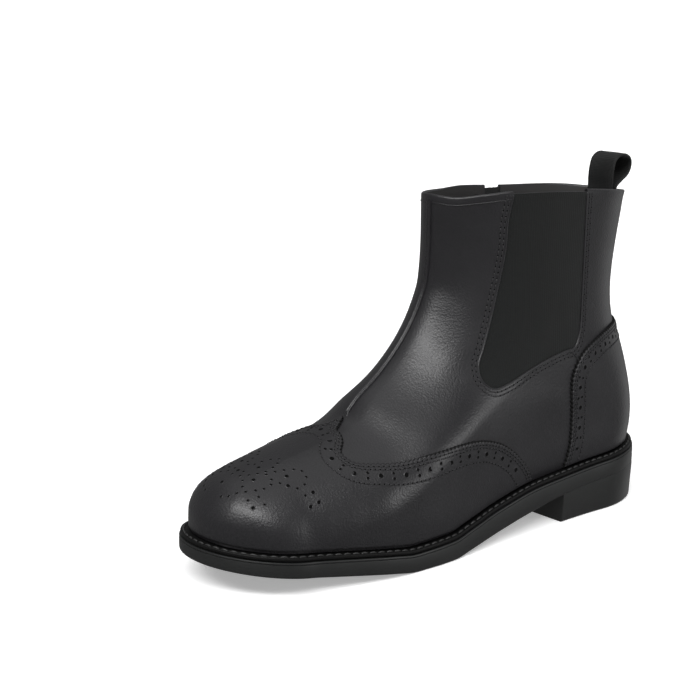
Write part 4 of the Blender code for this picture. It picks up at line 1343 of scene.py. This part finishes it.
def make_insole():
    inset = WALL + 2 * GAP
    full = GAP + INSOLE_THICKNESS
    levels = [(inset + inward, above(welt_top, lift)) for inward, lift in (
        (0.0, GAP), (0.0, full - 0.0008), (0.0004, full - 0.0002), (0.0012, full))]
    start = SOLE_LENGTH * BACK_ALONG(0)
    end = SOLE_LENGTH * FRONT_ALONG(0)
    sole_slab("sock_lining", "insole", levels, start, end, LINING, margin=WELT_SHOW, count=110)


def box_ring(width, height, corner, steps=6):
    """Outline of a rounded rectangle, from its right side anticlockwise."""
    points = []
    for quarter in range(4):
        turn = quarter * math.pi / 2
        sign_x = 1 if quarter in (0, 3) else -1
        sign_y = 1 if quarter in (0, 1) else -1
        for step in range(steps + 1):
            angle = turn + math.pi / 2 * step / steps
            points.append((sign_x * (width / 2 - corner) + corner * math.cos(angle),
                           sign_y * (height / 2 - corner) + corner * math.sin(angle)))
    return np.array(points)


def plate_rows(outline, out_from, out_to, soft):
    """Rows of a plate with soft edges, from its inner to its outer face; out is away from the boot."""
    rows = []
    for inset, out in ((soft, out_from), (0.0, out_from + soft), (0.0, out_to - soft),
                       (soft * 0.3, out_to - soft * 0.3), (soft, out_to)):
        size = 1 - inset / np.maximum(np.abs(outline).max(axis=0), 1e-6)
        place = outline * size
        rows.append(np.stack((place[:, 0], np.full(len(place), -out), place[:, 1]), -1))
    return np.array(rows)


def loft(rows):
    """Points and faces of a loft through rows, closed at both ends."""
    count = rows.shape[1]
    faces = grid_faces(len(rows), count, loop_columns=True)
    faces += [tuple(range(count)), tuple(range((len(rows) - 1) * count, len(rows) * count))[::-1]]
    return rows.reshape(-1, 3), faces


def joined(name, lofts, material, place, body, replaced=()):
    """Several lofts as one mesh at a place."""
    points = []
    faces = []
    for shape, quads in lofts:
        base = sum(len(group) for group in points)
        points.append(shape + place)
        faces += [tuple(corner + base for corner in quad) for quad in quads]
    thing = add_mesh(name, np.concatenate(points), faces, [material])
    return finish(thing, replaced, body, 40)


def rod(radius, path, segments=12):
    """A round bar along a path of points, in the slider's own frame."""
    path = np.asarray(path, float)
    along = unit(np.gradient(path, axis=0))
    guide = np.where(np.abs(along[:, :1]) > 0.9, np.array([[0.0, 0.0, 1.0]]), np.array([[1.0, 0.0, 0.0]]))
    aside = unit(np.cross(along, guide))
    upward = np.cross(aside, along)
    angles = np.linspace(0, TURN, segments + 1)[:-1, None]
    rings = [aside[i] * np.cos(angles) + upward[i] * np.sin(angles) for i in range(len(path))]
    return loft(path[:, None] + radius * np.array(rings))


def make_slider():
    """The silver slider on the chain, with flanges, a bridge and the pin, and the pull that hangs from it."""
    hinge = next(joint for joint in frame["joints"] if joint["name"] == "zip_pull_hinge")
    axis = np.array(hinge["pos_m"] if "pos_m" in hinge else hinge["pos"], float)
    face = SLIDER_LIFT + SLIDER_THICKNESS
    pin = face + GAP + BARREL_RADIUS
    seat = np.array([axis[0], axis[1] + pin, axis[2] + HINGE_DROP])

    def waist(height):
        return 1 - SLIDER_WAIST * smooth_step(-height, -0.001, SLIDER_LENGTH / 2)

    outline = box_ring(SLIDER_WIDTH, SLIDER_LENGTH, 0.0022)
    outline[:, 0] *= waist(outline[:, 1])
    pieces = [loft(plate_rows(outline, SLIDER_LIFT, face, 0.0004))]
    lug = np.array([(-LUG_REACH, face - 0.0003), (LUG_REACH, face - 0.0003)] +
                   [(LUG_REACH * math.cos(angle), pin + LUG_REACH * math.sin(angle))
                    for angle in np.linspace(0, math.pi, 9)])
    lug_middle = BARREL_LENGTH / 2 + GAP + LUG_THICKNESS / 2
    for side in (1, -1):
        flange = [(side * (SLIDER_WIDTH / 2 - 0.0006) * waist(z), -SLIDER_LIFT + 0.0002, z)
                  for z in np.linspace(SLIDER_LENGTH / 2 - 0.0012, -SLIDER_LENGTH / 2 + 0.0012, 12)]
        pieces.append(rod(0.0006, flange))
        rows = [np.stack((np.full(len(lug), side * lug_middle + LUG_THICKNESS * step), -lug[:, 1],
                          lug[:, 0] - HINGE_DROP), -1) for step in (-0.5, 0.5)]
        pieces.append(loft(np.array(rows)))
    pin_line = [(x, -pin, -HINGE_DROP) for x in np.linspace(-lug_middle, lug_middle, 5)]
    pieces.append(rod(PIN_RADIUS, pin_line, 16))
    bridge = [(0.0, -(face + 0.0012 * math.sin(angle)), 0.0032 + 0.0022 * math.cos(angle))
              for angle in np.linspace(0, math.pi, 11)]
    pieces.append(rod(0.0007, bridge, 10))
    joined("zip_slider_metal", pieces, METAL, seat, BODY, ("zip_slider",))
    make_pull(axis)


def make_pull(axis):
    """The pull: a barrel on the pin, a neck and a frame of round wire around a dark face."""
    turns = np.linspace(0, TURN, 25)[:-1]
    end = BARREL_LENGTH / 2
    rings = []
    soft = 0.0002
    for x, radius in ((-end, PIN_RADIUS + GAP), (-end, BARREL_RADIUS - soft), (-end + soft, BARREL_RADIUS),
                      (end - soft, BARREL_RADIUS), (end, BARREL_RADIUS - soft), (end, PIN_RADIUS + GAP)):
        rings.append(np.stack((np.full(24, x), radius * np.cos(turns), radius * np.sin(turns)), -1))
    pull = [(np.array(rings).reshape(-1, 3), grid_faces(6, 24, True, True))]
    neck = box_ring(PULL_NECK, 0.0014, 0.0003, 2)
    neck_rows = plate_rows(neck, -PULL_THICKNESS / 2, PULL_THICKNESS / 2, 0.0002)
    neck_rows[..., 2] -= BARREL_RADIUS + 0.0004
    pull.append(loft(neck_rows))
    drop = BARREL_RADIUS + GAP + PULL_LENGTH / 2
    corners = box_ring(PULL_WIDTH - 2 * PULL_WIRE, PULL_LENGTH - 2 * PULL_WIRE, 0.0016)
    corners = np.concatenate((corners, corners[:1]))
    places = np.linspace(0, len(corners) - 1, 100)[:-1]
    across, down = (np.interp(places, np.arange(len(corners)), corners[:, k]) for k in range(2))
    path = np.stack((across, np.zeros(99), down - drop), -1)
    direction = unit(np.roll(path, -1, axis=0) - np.roll(path, 1, axis=0))
    out = np.array([0.0, 1.0, 0.0])
    across = np.cross(direction, out)
    wire = [path + PULL_WIRE * (across * math.cos(angle) + out * math.sin(angle))
            for angle in np.linspace(0, TURN, 11)[:-1]]
    pull.append((np.array(wire).transpose(1, 0, 2).reshape(-1, 3), grid_faces(99, 10, True, True)))
    joined("zip_pull_metal", pull, METAL, axis, "pull", ("zip_pull",))
    face = box_ring(PULL_WIDTH - 0.0016, PULL_LENGTH - 0.0016, 0.0014)
    face_rows = plate_rows(face, -0.00045, 0.00045, soft)
    face_rows[..., 2] -= drop
    joined("zip_pull_face", [loft(face_rows)], LEATHER, axis, "pull")


def show(name, data, place, ahead):
    """A light or a camera at a place, looking ahead."""
    thing = bpy.data.objects.new(name, data)
    thing.location = place
    thing.rotation_euler = ahead.to_track_quat("-Z", "Y").to_euler()
    bpy.context.scene.collection.objects.link(thing)
    return thing


def glow_node(tree, way, glow):
    """A soft-edged patch of light on the room's wall."""
    azimuth = math.radians(glow.azimuth)
    elevation = math.radians(glow.elevation)
    ahead = Vector((math.cos(elevation) * math.cos(azimuth), math.cos(elevation) * math.sin(azimuth),
                    math.sin(elevation)))
    across = Vector((-math.sin(azimuth), math.cos(azimuth), 0.0))

    def dot(axis):
        inputs = {0: way, 1: axis}
        return node_of(tree, "ShaderNodeVectorMath", inputs, operation="DOT_PRODUCT").outputs["Value"]

    total = ramp(tree, dot(ahead), 0.0, 0.1, 0.0, glow.light)
    for axis, reach in ((across, glow.wide), (ahead.cross(across), glow.tall)):
        off = arithmetic(tree, "ABSOLUTE", dot(axis))
        total = arithmetic(tree, "MULTIPLY", total, ramp(tree, off, reach, reach + glow.soft, 1.0, 0.0))
    return total


def make_room():
    """A dim room with a long soft light high in front, a weak one overhead and a narrow one behind."""
    world = bpy.data.worlds.new("studio")
    world.use_nodes = True
    tree = world.node_tree
    way = node_of(tree, "ShaderNodeTexCoord").outputs["Generated"]
    total = ROOM_LIGHT
    for glow in GLOWS:
        total = arithmetic(tree, "ADD", total, glow_node(tree, way, glow))
    background = tree.nodes["Background"]
    background.inputs["Color"].default_value = (1.0, 1.0, 1.0, 1.0)
    tree.links.new(total, background.inputs["Strength"])
    bpy.context.scene.world = world


def make_studio():
    """A pale floor that fills the picture, soft light and the camera at the photograph's angle."""
    floor_mesh = bpy.data.meshes.new("floor")
    corners = [(FLOOR_SIZE * x, FLOOR_SIZE * y, 0) for x, y in ((-1, -1), (1, -1), (1, 1), (-1, 1))]
    floor_mesh.from_pydata(corners, [], [(0, 1, 2, 3)])
    floor = bpy.data.objects.new("floor", floor_mesh)
    floor.location.z = -0.0001
    bpy.context.scene.collection.objects.link(floor)
    floor_mesh.materials.append(material(
        "pale floor", (0.94, 0.94, 0.94), 0.9, spread=0.0, stain=0.002,
        shader={"Specular IOR Level": 0.1, "Emission Color": (1.0, 1.0, 1.0, 1.0),
                "Emission Strength": FLOOR_GLOW}))
    floor.visible_glossy = False
    make_room()
    light = bpy.data.lights.new("side", "AREA")
    light.shape = "RECTANGLE"
    light.size, light.size_y = LAMP_SIZE
    light.energy = LAMP_ENERGY
    show("side", light, LAMP_PLACE, Vector(LAMP_TARGET) - Vector(LAMP_PLACE))
    camera = bpy.data.cameras.new("camera")
    camera.sensor_width = SENSOR
    camera.lens = SENSOR * CAMERA_FOCUS / PICTURE
    yaw = math.radians(CAMERA_YAW)
    dip = math.radians(CAMERA_DIP)
    ahead = Vector((math.cos(yaw) * math.cos(dip), math.sin(yaw) * math.cos(dip), -math.sin(dip)))
    bpy.context.scene.camera = show("camera", camera, CAMERA_PLACE, ahead)
    bpy.context.scene.view_settings.view_transform = "Standard"


make_upper()
wing, counter = make_overlays()
make_band("wing", wing, math.pi, WING_BAND, WING_HOLE_PITCH, BAND_MIDDLE)
make_band("counter", counter, 0.0, COUNTER_BAND, COUNTER_HOLE_PITCH, BAND_MIDDLE - 0.0004, 0.007)
make_medallion()
make_gusset()
make_zip()
make_slider()
make_seam("front_seam_leather", "front_seam", math.pi, 0.443, FRONT_SEAM_WIDTH, SEAM_HEIGHT, 0.35)
make_seam("back_stay_leather", "back_stay", 0.0, 0.629, BACK_STAY_WIDTH, SEAM_HEIGHT, 0.0)
make_folds()
make_loop()
make_outsole()
make_heel()
make_welt()
make_insole()
make_studio()
